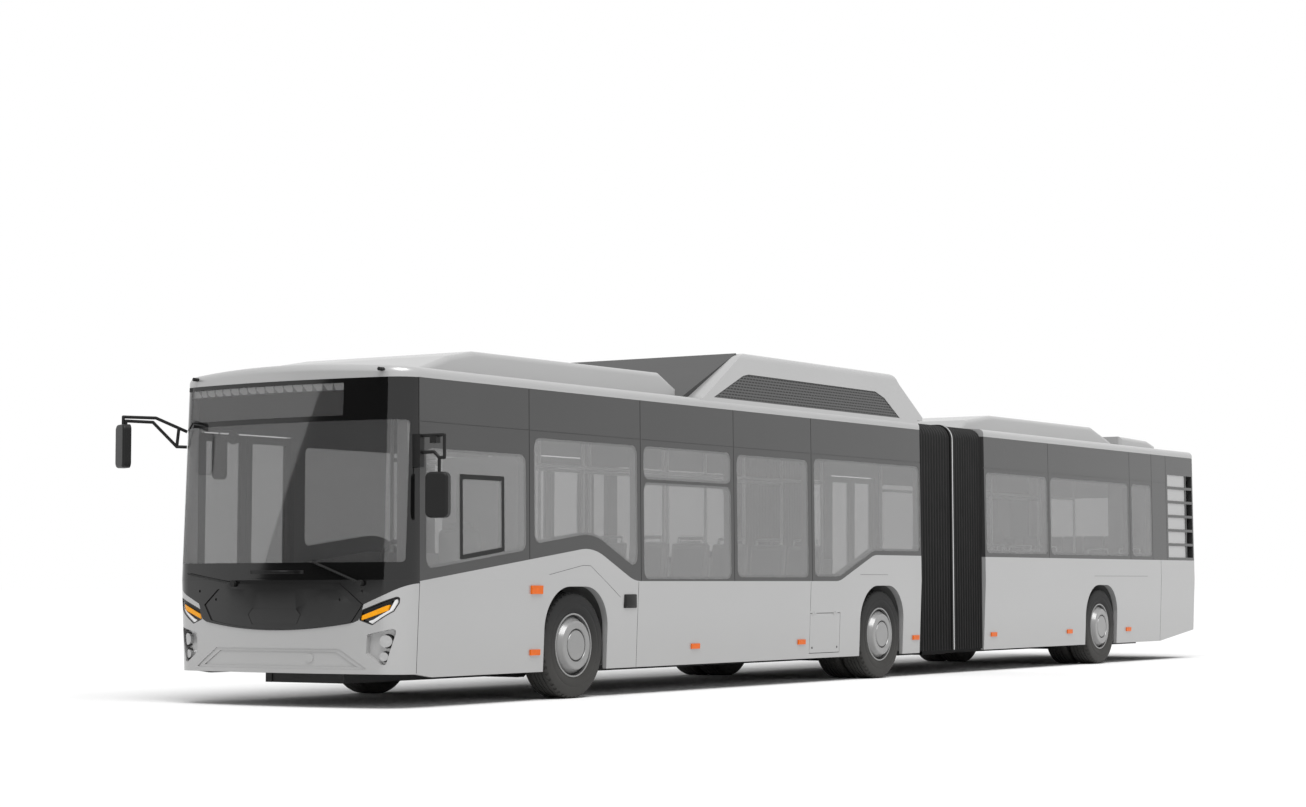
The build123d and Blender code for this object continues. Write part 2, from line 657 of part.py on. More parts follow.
def mirror_head(centre, width, thickness, turn):
    """A mirror's rounded housing, its glass side to the rear."""
    side, ahead = sin(radians(turn)), cos(radians(turn))
    housing = Plane(centre, x_dir=(-side, ahead, 0), z_dir=(ahead, side, 0))
    with BuildPart() as head:
        with BuildSketch(housing.offset(-thickness / 2)):
            RectangleRounded(width, MIRROR_HEIGHT, MIRROR_CORNER_R)
        extrude(amount=thickness)
        fillet(head.faces().sort_by(Axis(centre, housing.z_dir))[-1].edges(), MIRROR_EDGE_R)
    return head.part


with BuildPart() as mirrors:
    add(mirror_head(*LEFT_HEAD))
    add(mirror_head(*RIGHT_HEAD))
    add(block(*LEFT_BASE))
    add(block(*LEFT_CAMERA))
    for points in LEFT_ARMS + RIGHT_ARMS:
        add(pipe(points, ARM_R))
    add(nose_form(-SEAT_GAP), mode=Mode.SUBTRACT)
    add(mirror_head(*CABIN_HEAD))
    for points in CABIN_ARMS:
        add(pipe(points, CABIN_ARM_R))
    x, y, z, r = CABIN_DISC
    add(rod((x - 24, y, z), (x, y, z), r))
finish(mirrors.part, "mirrors")

# ---------------------------------------------------------------- roofs
SHOULDER_Z = 2818       # where the roof's crown meets its sides
ROOF_EDGE_R = 60


def crown(x_rear, x_front):
    """Everything below the roof's arched crown."""
    with BuildPart() as form:
        with BuildSketch(Plane.YZ.offset(x_rear)):
            with BuildLine():
                Polyline((HALF, SHOULDER_Z), (HALF, RAIL_Z - 10), (-HALF, RAIL_Z - 10), (-HALF, SHOULDER_Z))
                ThreePointArc((-HALF, SHOULDER_Z), (0, ROOF_Z), (HALF, SHOULDER_Z))
            make_face()
        extrude(amount=x_front - x_rear)
    return form.part


def roof(plan, x_rear, x_front, open_end_x):
    """A roof with its lining over the given plan, its upper edge rounded except at its open end."""
    with BuildPart() as shell:
        add(plan)
        extrude(amount=ROOF_Z - RAIL_Z + 20)
        add(crown(x_rear, x_front), mode=Mode.INTERSECT)
        top = shell.faces().sort_by(Axis.Z)[-1]
        rim = [e for e in top.edges() if abs(e.center().X - open_end_x) > 1]
        fillet(rim, ROOF_EDGE_R)
    return shell.part


front_plan = end_plan(RAIL_Z, NOSE_X - NOSE_RAKE, FRONT_END_X, HALF - LEAN, NOSE_BOW, NOSE_CORNER_R)
front_roof = roof(
    front_plan,
    FRONT_END_X - 100,
    NOSE_X + 100,
    FRONT_END_X,
)
finish(front_roof, "front_roof")

rear_plan = end_plan(RAIL_Z, TAIL_X, REAR_START_X, HALF - LEAN, TAIL_BOW, TAIL_CORNER_R)
rear_roof = roof(
    rear_plan,
    TAIL_X - 100,
    REAR_START_X + 100,
    REAR_START_X,
)
finish(rear_roof, "rear_roof")

# ---------------------------------------------------------------- roof covers
def lengthways_cover(profile, half_width, edge_r):
    """A closed cover from its side profile, full to half_width each side, with rounded long edges."""
    with BuildPart() as cover:
        with BuildSketch(Plane.XZ.offset(-half_width)):
            Polygon(*profile, align=None)
        extrude(amount=2 * half_width)
        long_edges = cover.edges().filter_by(lambda e: abs(e.center().Z - COVER_BASE_Z) > 1 and e.center().Z > ROOF_Z)
        fillet(long_edges.filter_by(lambda e: abs(abs(e.center().Y) - half_width) < 1), edge_r)
    return cover.part


COVER_BASE_Z = 2846     # the covers' rims, below the roof's crown at the centre line
FRONT_POD = [(7950, COVER_BASE_Z), (7500, 2990), (7150, 3050), (4180, 3062), (3870, 2925), (3870, COVER_BASE_Z)]
REAR_POD = [(-2470, COVER_BASE_Z), (-2700, 2960), (-3400, 3050), (-6400, 3056), (-7000, 2900), (-7000, COVER_BASE_Z)]
TAIL_POD = [(-7360, COVER_BASE_Z), (-7360, 2980), (-8300, 2960), (-8550, 2905), (-8550, COVER_BASE_Z)]
POD_HALF = 980
REAR_POD_HALF = 900
POD_EDGE_R = 50

with BuildPart() as front_roof_pod:
    add(lengthways_cover(FRONT_POD, POD_HALF, POD_EDGE_R))
    add(crown(FRONT_END_X, NOSE_X), mode=Mode.SUBTRACT)
finish(front_roof_pod.part, "front_roof_pod")

with BuildPart() as rear_roof_pods:
    add(lengthways_cover(REAR_POD, REAR_POD_HALF, POD_EDGE_R))
    add(lengthways_cover(TAIL_POD, REAR_POD_HALF, POD_EDGE_R))
    add(crown(TAIL_X, REAR_START_X), mode=Mode.SUBTRACT)
finish(rear_roof_pods.part, "rear_roof_pods")

COWL_HALF = 1250        # half width at the cowl's foot
COWL_TOP_HALF = 1130
COWL_TOP_Z = 3345
COWL_T = 40
COWL_FOOT_Z = 2790
COWL_OUTLINE = [
    (4100, COWL_FOOT_Z), (3860, COWL_FOOT_Z + 4), (2850, COWL_TOP_Z), (-400, COWL_TOP_Z), (-470, 3240),
    (-890, 2880), (-875, 2840), (FRONT_END_X, 2840), (FRONT_END_X, COWL_FOOT_Z),
]
COWL_BENDS = {1: 600, 2: 500, 3: 90, 4: 160}     # radii at the outline's corners
COWL_OPENING = [(3600, 2846), (2950, 3100), (2830, 3122), (130, 3115), (-50, 3056), (-330, 2846)]
FAIRING_HALF = 1040


def cowl_section(inset):
    """The cowl's outer form in cross-section, run over its whole length."""
    with BuildPart() as form:
        with BuildSketch(Plane.YZ.offset(-1000)) as section:
            Polygon(
                (COWL_HALF - inset, COWL_FOOT_Z - 1),
                (COWL_TOP_HALF - inset, COWL_TOP_Z - inset),
                (inset - COWL_TOP_HALF, COWL_TOP_Z - inset),
                (inset - COWL_HALF, COWL_FOOT_Z - 1),
                align=None,
            )
            fillet(section.vertices().group_by(Axis.Y)[-1], 90)
        extrude(amount=5300)
    return form.part


def across(outline, half_width, bends={}):
    """A side elevation drawn as x, z points, extruded across the bus; bends gives some corners' radii."""
    with BuildPart() as form:
        with BuildSketch(Plane.XZ.offset(-half_width)) as elevation:
            Polygon(*outline, align=None)
            for corner, radius in bends.items():
                fillet(elevation.vertices().sort_by_distance((*outline[corner], 0))[0], radius)
        extrude(amount=2 * half_width)
    return form.part


FAIRING = [(3860, 2850), (2850, COWL_TOP_Z - 2), (2813, COWL_TOP_Z - 40), (3750, 2850)]
COWL_HOLLOW = [
    (3700, 2700), (3500, 2900), (2830, COWL_TOP_Z - COWL_T), (-380, COWL_TOP_Z - COWL_T), (-440, 3200),
    (-700, 2900), (-700, 2700),
]
with BuildPart() as hollow:
    add(across(COWL_HOLLOW, COWL_HALF + 50))
    add(cowl_section(COWL_T), mode=Mode.INTERSECT)
with BuildPart() as gas_cowl:
    add(across(COWL_OUTLINE, COWL_HALF + 50, COWL_BENDS))
    add(cowl_section(0), mode=Mode.INTERSECT)
    add(hollow.part, mode=Mode.SUBTRACT)
    add(across(COWL_OPENING, COWL_HALF + 50), mode=Mode.SUBTRACT)
    add(block(2812, 4300, -FAIRING_HALF, FAIRING_HALF, 2700, COWL_TOP_Z + 50), mode=Mode.SUBTRACT)
    add(front_roof, mode=Mode.SUBTRACT)
finish(gas_cowl.part, "gas_cowl")

with BuildPart() as cowl_mesh:
    add(across(COWL_OPENING, COWL_HALF + 50))
    add(cowl_section(6), mode=Mode.INTERSECT)
    add(cowl_section(30), mode=Mode.SUBTRACT)
    add(front_roof, mode=Mode.SUBTRACT)
finish(cowl_mesh.part, "cowl_mesh")

with BuildPart() as cowl_fairing:
    add(across(FAIRING, FAIRING_HALF - SEAT_GAP))
    add(front_roof, mode=Mode.SUBTRACT)
finish(cowl_fairing.part, "cowl_fairing")

# ---------------------------------------------------------------- floors and wheel boxes
FRONT_BOX = {"half": 560, "inner": 570, "top": 1030, "corner": 300}
TWIN_BOX = {"half": 510, "inner": 540, "top": 1020, "corner": 300}


def wheel_box(axle_x, box, grow):
    """Both wheel boxes of one axle as solids, their faces grown outwards by grow."""
    with BuildPart() as pair:
        outline = arch_outline(axle_x, box["half"] + grow, box["top"] + grow, box["corner"])
        for side in (1, -1):
            start_y = side * INNER
            extrude(outline.moved(Location((0, start_y, 0))), amount=side * (INNER - box["inner"] + grow))
    return pair.part


def floor(plate, axles, low_x, high_x):
    """A floor plate with the wheel boxes that stand on it."""
    with BuildPart() as deck:
        add(plate)
        for axle_x, box in axles:
            add(wheel_box(axle_x, box, BOX_T))
        add(block(low_x, high_x, -INNER, INNER, SKIRT_Z - 100, FLOOR_Z - FLOOR_T), mode=Mode.SUBTRACT)
        for axle_x, box in axles:
            add(wheel_box(axle_x, box, 0), mode=Mode.SUBTRACT)
    return deck.part


front_floor = floor(
    nose_core(FLOOR_Z - FLOOR_T, FLOOR_Z, FRONT_END_X),
    [(FRONT_AXLE_X, FRONT_BOX), (MIDDLE_AXLE_X, TWIN_BOX)],
    FRONT_END_X - 100,
    NOSE_X,
)
finish(front_floor, "front_floor")

# ---------------------------------------------------------------- wheels
def ring(points, x, centre_y, side):
    """Turns a closed profile of radius, distance outboard of centre_y about one axle."""
    with BuildPart() as turned:
        with BuildSketch(Plane.YZ.offset(x)):
            Polygon(*[(side * (centre_y + out), AXLE_Z + r) for r, out in points], align=None)
        revolve(axis=Axis((x, 0, AXLE_Z), (0, 1, 0)), revolution_arc=360)
    return turned.part


TYRE_HALF = TYRE_WIDTH / 2
SHOULDER = 28
TYRE_PROFILE = [
    (BEAD_R, TYRE_HALF - 16), (BEAD_R + 60, TYRE_HALF), (TYRE_R - 60, TYRE_HALF - 2),
    (TYRE_R - SHOULDER * 0.35, TYRE_HALF - SHOULDER * 0.5), (TYRE_R, TYRE_HALF - SHOULDER * 1.3),
]
TYRE_PROFILE += [(r, -out) for r, out in reversed(TYRE_PROFILE)]
RIM_R = BEAD_R - 0.3
COVER_BASE_Y = -45      # the cover's rim, from the outer sidewall
COVER_PROFILE = [
    (0, 20), (130, 20), (134, 14), (146, 14), (150, 22), (205, 24), (216, 19), (255, COVER_BASE_Y),
    (RIM_R - 14, COVER_BASE_Y), (RIM_R - 14, COVER_BASE_Y - 8), (250, COVER_BASE_Y - 8), (210, 8), (0, 8),
]
SPINDLE_GAP = 0.5


def barrel(inboard, outboard, disc, hub_r, bore_r, hub_inboard):
    """Rim profile: barrel with lips, disc and hub, as radius and distance outboard of the wheel's centre."""
    return [
        (RIM_R, outboard), (RIM_R - 14, outboard), (RIM_R - 14, disc), (hub_r, disc), (hub_r - 30, disc + 14),
        (bore_r, disc + 14), (bore_r, hub_inboard), (hub_r, hub_inboard), (hub_r, disc - 16), (RIM_R - 14, disc - 16),
        (RIM_R - 14, inboard), (RIM_R, inboard),
    ]


FRONT_SPINDLE_R = 45
TWIN_SPINDLE_R = 70
FRONT_RIM = barrel(-TYRE_HALF + 10, TYRE_HALF - 10, 60, 100, FRONT_SPINDLE_R + SPINDLE_GAP, 26)
TWIN_RIM = barrel(
    -TYRE_HALF - TWIN_SPACING + 10, TYRE_HALF - 10, -TWIN_SPACING / 2, 130, TWIN_SPINDLE_R + SPINDLE_GAP, -TYRE_HALF - 290
)
AXLES = [("front", FRONT_AXLE_X, FRONT_RIM, 1), ("middle", MIDDLE_AXLE_X, TWIN_RIM, 2), ("rear", REAR_AXLE_X, TWIN_RIM, 2)]
for axle, x, rim, tyres in AXLES:
    for side, side_name in ((1, "left"), (-1, "right")):
        with BuildPart() as tyre_set:
            for i in range(tyres):
                add(ring(TYRE_PROFILE, x, WHEEL_Y - i * TWIN_SPACING, side))
        finish(tyre_set.part, f"{axle}_{side_name}_tyre")
        with BuildPart() as wheel:
            add(ring(rim, x, WHEEL_Y, side))
            add(ring(COVER_PROFILE, x, TYRE_FACE_Y, side))
        finish(wheel.part, f"{axle}_{side_name}_rim")

# ---------------------------------------------------------------- chassis, axles and knuckles
RAIL_Y = (365, 435)     # inner and outer face of each chassis rail
RAIL_LOW_Z = 190
FLOOR_LOW_Z = FLOOR_Z - FLOOR_T
KINGPIN_Y = 1020
KINGPIN_R = 30
EYE_R = 60
BEAM_HALF = 50          # half width of the axle beams
DRAWBAR_Z = (240, FLOOR_LOW_Z)
TOW_X = -9010           # axis of the rear towing pin
TOW_R = 20
TOW_LUG_Z = (200, 260)
PIN_R = 120
PIN_LOW_Z = 180
SLEW_R = 250
DISC_R = 800            # walkable disc over the joint
DISC_T = 22
REAR_EYE_Z = (PIN_LOW_Z, DRAWBAR_Z[0] - 5)


def beam(axle_x, half_profile):
    """An axle beam from the left half of its front elevation, y, z points."""
    with BuildPart() as bar:
        with BuildSketch(Plane.YZ.offset(axle_x - BEAM_HALF)):
            Polygon(*both_sides(half_profile), align=None)
        extrude(amount=2 * BEAM_HALF)
    return bar.part


FRONT_BEAM = [
    (0, 180), (640, 180), (900, AXLE_Z - 55), (KINGPIN_Y, AXLE_Z - 55), (KINGPIN_Y, AXLE_Z + 55),
    (860, AXLE_Z + 55), (600, 268), (0, 268),
]
TWIN_BEAM = [
    (0, 180), (640, 180), (640, AXLE_Z + 75), (555, AXLE_Z + 75), (555, FLOOR_LOW_Z), (500, FLOOR_LOW_Z - 12),
    (0, FLOOR_LOW_Z - 12),
]
LEG_Y = 640


def spindles(axle_x):
    """The two round spindles that carry a twin-wheeled axle's hubs."""
    with BuildPart() as pair:
        for side in (1, -1):
            add(rod((axle_x, side * (LEG_Y - 5), AXLE_Z), (axle_x, side * 955, AXLE_Z), TWIN_SPINDLE_R))
    return pair.part


def rails(x_rear, x_front, crossing_xs):
    """Two chassis rails joined by cross-members."""
    with BuildPart() as frame:
        for side in (1, -1):
            y0, y1 = sorted((side * RAIL_Y[0], side * RAIL_Y[1]))
            add(block(x_rear, x_front, y0, y1, RAIL_LOW_Z, FLOOR_LOW_Z))
        for x in crossing_xs:
            add(block(x - 40, x + 40, -RAIL_Y[1], RAIL_Y[1], RAIL_LOW_Z, FLOOR_LOW_Z))
    return frame.part


with BuildPart() as front_chassis:
    add(rails(FRONT_END_X, 8250, (-500, 1600, 3400, 5000, 7000, 8200)))
    add(beam(FRONT_AXLE_X, FRONT_BEAM))
    add(beam(MIDDLE_AXLE_X, TWIN_BEAM))
    add(spindles(MIDDLE_AXLE_X))
    for side in (1, -1):
        low, high = (FRONT_AXLE_X, side * KINGPIN_Y, AXLE_Z - 55), (FRONT_AXLE_X, side * KINGPIN_Y, AXLE_Z + 55)
        add(rod(low, high, EYE_R))
        add(rod((low[0], low[1], 100), (low[0], low[1], 900), KINGPIN_R + 0.3), mode=Mode.SUBTRACT)
    add(block(PIVOT_X, -300, -RAIL_Y[1], RAIL_Y[1], *DRAWBAR_Z))
    add(rod((PIVOT_X, 0, DRAWBAR_Z[0]), (PIVOT_X, 0, FLOOR_Z - DISC_T), SLEW_R))
    add(rod((PIVOT_X, 0, PIN_LOW_Z), (PIVOT_X, 0, DRAWBAR_Z[0]), PIN_R))
    add(rod((PIVOT_X, 0, FLOOR_Z - DISC_T), (PIVOT_X, 0, FLOOR_Z), DISC_R))
    add(block(PIVOT_X, FRONT_END_X, -600, 600, FLOOR_Z - DISC_T, FLOOR_Z))
finish(front_chassis.part, "front_chassis")

for side, side_name in ((1, "left"), (-1, "right")):
    with BuildPart() as knuckle:
        x, y = FRONT_AXLE_X, side * KINGPIN_Y
        plate_y = sorted((y + side * 66, y + side * 96))
        arm_y = sorted((y, y + side * 96))
        add(rod((x, y, AXLE_Z - 115), (x, y, AXLE_Z + 115), KINGPIN_R))
        for z0, z1 in ((AXLE_Z - 115, AXLE_Z - 61), (AXLE_Z + 61, AXLE_Z + 115)):
            add(rod((x, y, z0), (x, y, z1), EYE_R - 5))
            add(block(x - 50, x + 50, *arm_y, z0, z1))
        add(block(x - 50, x + 50, *plate_y, AXLE_Z - 115, AXLE_Z + 115))
        add(rod((x, y + side * 90, AXLE_Z), (x, y + side * 148, AXLE_Z), FRONT_SPINDLE_R))
    finish(knuckle.part, f"knuckle_{side_name}")

with BuildPart() as rear_chassis:
    add(rails(TAIL_X + 200, REAR_START_X, (-3200, -4600, TAIL_X + 300)))
    add(block(TAIL_X + 30, TAIL_X + 300, -70, 70, *TOW_LUG_Z))
    add(rod((TOW_X, 0, 100), (TOW_X, 0, 400), TOW_R), mode=Mode.SUBTRACT)
    add(beam(REAR_AXLE_X, TWIN_BEAM))
    add(spindles(REAR_AXLE_X))
    add(block(REAR_START_X - 600, REAR_START_X, -RAIL_Y[1], RAIL_Y[1], PIN_LOW_Z, DRAWBAR_Z[0] - 5))
    add(block(REAR_START_X, PIVOT_X, -300, 300, *REAR_EYE_Z))
    add(rod((PIVOT_X, 0, REAR_EYE_Z[0]), (PIVOT_X, 0, REAR_EYE_Z[1]), 300))
    add(rod((PIVOT_X, 0, 100), (PIVOT_X, 0, 300), PIN_R + 0.3), mode=Mode.SUBTRACT)
finish(rear_chassis.part, "rear_chassis")

ENGINE = (-8750, -7660, -340, 340, FLOOR_LOW_Z, 1130)
SHAFT_R = 35
SHAFT_Z = 230
with BuildPart() as engine:
    add(block(*ENGINE))
    add(block(ENGINE[0] + 100, ENGINE[1] - 100, -RAIL_Y[1], RAIL_Y[1], FLOOR_LOW_Z, FLOOR_LOW_Z + 60))
    add(block(ENGINE[1] - 200, ENGINE[1], -120, 120, SHAFT_Z - SHAFT_R, FLOOR_LOW_Z))
    add(rod((ENGINE[1] - 100, 0, SHAFT_Z), (REAR_AXLE_X - BEAM_HALF, 0, SHAFT_Z), SHAFT_R))
finish(engine.part, "engine")

# ---------------------------------------------------------------- bellows and its middle ring
BELLOWS_HALF = 1235
BELLOWS_T = 85
BELLOWS_LOW_Z = 270
BELLOWS_TOP_Z = 2830
FOLDS = 10              # in each half
FOLD_SEAM = 26          # width of the tuck between two folds
FOLD_DEPTH = 22
RING_HALF_T = 35
RING_PROUD = 12
RING_GAP = 0.5


def bellows_arch(x_rear, x_front, grow):
    """A length of the bellows' arch: two sides and a top, grown outwards by grow."""
    with BuildPart() as arch:
        with BuildSketch(Plane.YZ.offset(x_rear)):
            for half, top_z, mode in (
                (BELLOWS_HALF + grow, BELLOWS_TOP_Z + grow, Mode.ADD),
                (BELLOWS_HALF - BELLOWS_T, BELLOWS_TOP_Z - BELLOWS_T, Mode.SUBTRACT),
            ):
                with BuildLine():
                    FilletPolyline(
                        (half, BELLOWS_LOW_Z), (half, top_z), (-half, top_z), (-half, BELLOWS_LOW_Z),
                        radius=half - BELLOWS_HALF + BELLOWS_T + 80,
                    )
                    Line((-half, BELLOWS_LOW_Z), (half, BELLOWS_LOW_Z))
                make_face(mode=mode)
        extrude(amount=x_front - x_rear)
    return arch.part


def bellows(x_rear, x_front):
    """One half of the bellows: folds standing out between tucked-in seams."""
    pitch = (x_front - x_rear) / FOLDS
    with BuildPart() as folded:
        add(bellows_arch(x_rear, x_front, -FOLD_DEPTH))
        for fold in range(FOLDS):
            start_x = x_rear + fold * pitch + FOLD_SEAM / 2
            add(bellows_arch(start_x, start_x + pitch - FOLD_SEAM, 0))
    return folded.part


finish(bellows(PIVOT_X + RING_HALF_T + RING_GAP, FRONT_END_X), "bellows_front")
finish(bellows(REAR_START_X, PIVOT_X - RING_HALF_T - RING_GAP), "bellows_rear")

CROSS_Z = (290, 312)    # the ring's cross-bar, between drawbar and disc
with BuildPart() as bellows_ring:
    add(bellows_arch(PIVOT_X - RING_HALF_T, PIVOT_X + RING_HALF_T, RING_PROUD))
    add(rod((PIVOT_X, 0, CROSS_Z[0]), (PIVOT_X, 0, CROSS_Z[1]), 420))
    add(block(PIVOT_X - RING_HALF_T, PIVOT_X + RING_HALF_T, -BELLOWS_HALF + 20, BELLOWS_HALF - 20, *CROSS_Z))
    add(rod((PIVOT_X, 0, 100), (PIVOT_X, 0, 400), SLEW_R + 0.3), mode=Mode.SUBTRACT)
finish(bellows_ring.part, "bellows_ring")

# ---------------------------------------------------------------- rear section: sides and floor
TAIL_RISE = [(REAR_PILLAR_X - 200, 385), (REAR_PILLAR_X, 385), (-7780, SKIRT_Z), (-7780, 200), (REAR_PILLAR_X - 200, 200)]
tail_wedge = across(TAIL_RISE, HALF + 100)      # what is cut away below the rising tail
GRILLE = {"low": 1350, "high": 2500, "slots": 6, "slat": 36}
GRILLE_COLUMNS = [(-8940, -8725), (-8700, -8060)]      # open squares, then louvre plates
LOUVRE_SINK = 10
LOUVRE_T = 20


def grille_slots(x0, x1):
    """Elevation of one column of openings between the slats of the engine-bay grille."""
    pitch = (GRILLE["high"] - GRILLE["low"]) / GRILLE["slots"]
    with BuildSketch(Plane.XZ) as slots:
        with Locations(((x0 + x1) / 2, (GRILLE["low"] + GRILLE["high"]) / 2)):
            with GridLocations(0, pitch, 1, GRILLE["slots"]):
                Rectangle(x1 - x0, pitch - GRILLE["slat"])
    return slots.sketch


with BuildPart() as louvres:      # plates standing in the front column of the grille
    with BuildSketch(Plane.YZ.offset(GRILLE_COLUMNS[1][0])):
        Polygon(
            (HALF - LOUVRE_SINK, KNEE_Z),
            (HALF - LEAN - LOUVRE_SINK, RAIL_Z),
            (HALF - LEAN - LOUVRE_SINK - LOUVRE_T, RAIL_Z),
            (HALF - LOUVRE_SINK - LOUVRE_T, KNEE_Z),
            align=None,
        )
    extrude(amount=GRILLE_COLUMNS[1][1] - GRILLE_COLUMNS[1][0])
    extrude_side(grille_slots(*GRILLE_COLUMNS[1]), 1, Mode.INTERSECT)


with BuildPart() as rear_side_panels:
    for side in (1, -1):
        add(wall(REAR_PILLAR_X, REAR_START_X, side))
        extrude_side(above_rear_belt(0, REAR_PILLAR_X, REAR_START_X, RAIL_Z + 10), side, Mode.SUBTRACT)
        extrude_side(arch_outline(REAR_AXLE_X, ARCH_HALF, ARCH_TOP_Z, 380), side, Mode.SUBTRACT)
    cut_doorway(*DOORWAYS["rear"])
    add(tail_wedge, mode=Mode.SUBTRACT)
    add(louvres.part)
finish(rear_side_panels.part, "rear_side_panels")

with BuildPart() as rear_window_frames:
    span = (REAR_PILLAR_X, REAR_START_X, above_rear_belt)
    add(window_frames(*span, REAR_LEFT_WINDOWS, REAR_LEFT_SEAMS, 1, ()))
    add(window_frames(*span, REAR_RIGHT_WINDOWS, REAR_RIGHT_SEAMS, -1, ("rear",)))
    for x0, x1 in GRILLE_COLUMNS:
        extrude_side(grille_slots(x0, x1), 1, Mode.SUBTRACT)
finish(rear_window_frames.part, "rear_window_frames")

ENGINE_BAY_X = -7600
ENGINE_BAY_TOP_Z = 1250
TOWER = {"front": -8020, "inner": 420}      # cooling tower at the left rear corner
BAY_T = 30
with BuildPart() as tower:
    add(tail_core(ENGINE_BAY_TOP_Z, CEILING_Z - 100, TOWER["front"]))
    add(block(TAIL_X, TOWER["front"], TOWER["inner"], HALF, 0, ROOF_Z), mode=Mode.INTERSECT)
    tower_room = (TAIL_X, TOWER["front"] - BAY_T, TOWER["inner"] + BAY_T, HALF, 0, CEILING_Z - 100 - BAY_T)
    add(block(*tower_room), mode=Mode.SUBTRACT)
with BuildPart() as rear_deck:
    add(tail_core(FLOOR_LOW_Z, FLOOR_Z, REAR_START_X))
    add(tail_core(FLOOR_Z, ENGINE_BAY_TOP_Z, ENGINE_BAY_X))
    add(tail_core(FLOOR_LOW_Z, ENGINE_BAY_TOP_Z - BAY_T, ENGINE_BAY_X - BAY_T), mode=Mode.SUBTRACT)
    add(tower.part)
    add(rod((PIVOT_X, 0, 200), (PIVOT_X, 0, 400), DISC_R + 8), mode=Mode.SUBTRACT)
rear_floor = floor(rear_deck.part, [(REAR_AXLE_X, TWIN_BOX)], TAIL_X, REAR_START_X)
finish(rear_floor, "rear_floor")

with BuildPart() as rear_windows:
    add(side_panes(above_rear_belt, REAR_LEFT_WINDOWS, 1))
    add(side_panes(above_rear_belt, REAR_RIGHT_WINDOWS, -1))
finish(rear_windows.part, "rear_windows")

# ---------------------------------------------------------------- tail
BACK_GLASS = (-950, 950, 1560, 2280)        # right, left, bottom, top
GLASS_REBATE = 60
HATCH = (-900, 900, 600, 1400)
HATCH_GAP = 8
HATCH_T = 45
TAIL_LAMP = (1010, 1170, 640, 1160)         # inner, outer, bottom, top


def tail_slab(y0, y1, z0, z1, depth):
    """The tail's outer layer, depth thick, inside a rectangle of the rear elevation."""
    with BuildPart() as slab:
        add(skin(tail_form, depth))
        add(block(TAIL_X - 50, REAR_PILLAR_X, y0, y1, z0, z1), mode=Mode.INTERSECT)
    return slab.part


back_glass = tail_slab(*BACK_GLASS, GLASS_T)
tail_lamps = [tail_slab(*sorted((side * TAIL_LAMP[0], side * TAIL_LAMP[1])), *TAIL_LAMP[2:], 40) for side in (1, -1)]
HATCH_AXIS = (TAIL_X - 5, HATCH[3] + HATCH_GAP / 2)     # hinge line's x, z
HATCH_HINGE_Y = (-540, 460)


def hatch_hinges(start, low_z, high_z):
    """Hinge halves for the rear hatch: barrels on the hinge line with a leaf from low_z to high_z."""
    x, z = HATCH_AXIS
    with BuildPart() as halves:
        for hinge_y in HATCH_HINGE_Y:
            y0 = hinge_y + start
            y1 = y0 + KNUCKLE_LENGTH
            add(rod((x, y0, z), (x, y1, z), KNUCKLE_R + 2))
            add(block(x, x + 30, y0, y1, low_z, high_z))
    return halves.part


with BuildPart() as rear_hatch:
    add(tail_slab(*HATCH, HATCH_T))
    add(hatch_hinges(KNUCKLE_LENGTH + HINGE_GAP, HATCH_AXIS[1] - 30, HATCH_AXIS[1]))
finish(rear_hatch.part, "rear_hatch")
finish(Part() + [rear_windows.part, back_glass], "rear_windows")

with BuildPart() as rear_end:
    add(tail_form(0))
    add(tail_core(SKIRT_Z - 10, RAIL_Z + 10, REAR_PILLAR_X + 300), mode=Mode.SUBTRACT)
    add(block(REAR_PILLAR_X, REAR_PILLAR_X + 400, -HALF, HALF, 0, ROOF_Z), mode=Mode.SUBTRACT)
    for (y0, y1, z0, z1), grow in ((BACK_GLASS, -GLASS_REBATE), (HATCH, HATCH_GAP)):
        add(block(TAIL_X - 50, TAIL_X + 200, y0 - grow, y1 + grow, z0 - grow, z1 + grow), mode=Mode.SUBTRACT)
    add(back_glass, mode=Mode.SUBTRACT)
    for lamp in tail_lamps:
        add(lamp, mode=Mode.SUBTRACT)
    add(tail_wedge, mode=Mode.SUBTRACT)
    add(hatch_hinges(0, HATCH_AXIS[1], HATCH_AXIS[1] + 30))
finish(rear_end.part, "rear_end")

with BuildPart() as rear_lamps:
    for lamp in tail_lamps:
        add(lamp)
    for side in (1, -1):
        for x in REAR_MARKER_X:
            add(side_lamp((x, MARKER_Z), MARKER_SIZE, side))
finish(rear_lamps.part, "rear_lamps")

# ---------------------------------------------------------------- doors
DOOR_T = 36
DOOR_SINK = 2
POST_GAP = 16
MEETING_GAP = 10
DOOR_LOW_Z = FLOOR_Z + 14
DOOR_TOP_Z = DOOR_HEAD_Z - 10
DOOR_FRAME = 70
PANE_T = 8
PIVOT_IN = 40           # pivot axis from a leaf's post edge
PIVOT_Y = -1234
PIVOT_R = 7
PIVOT_GAP = 0.3


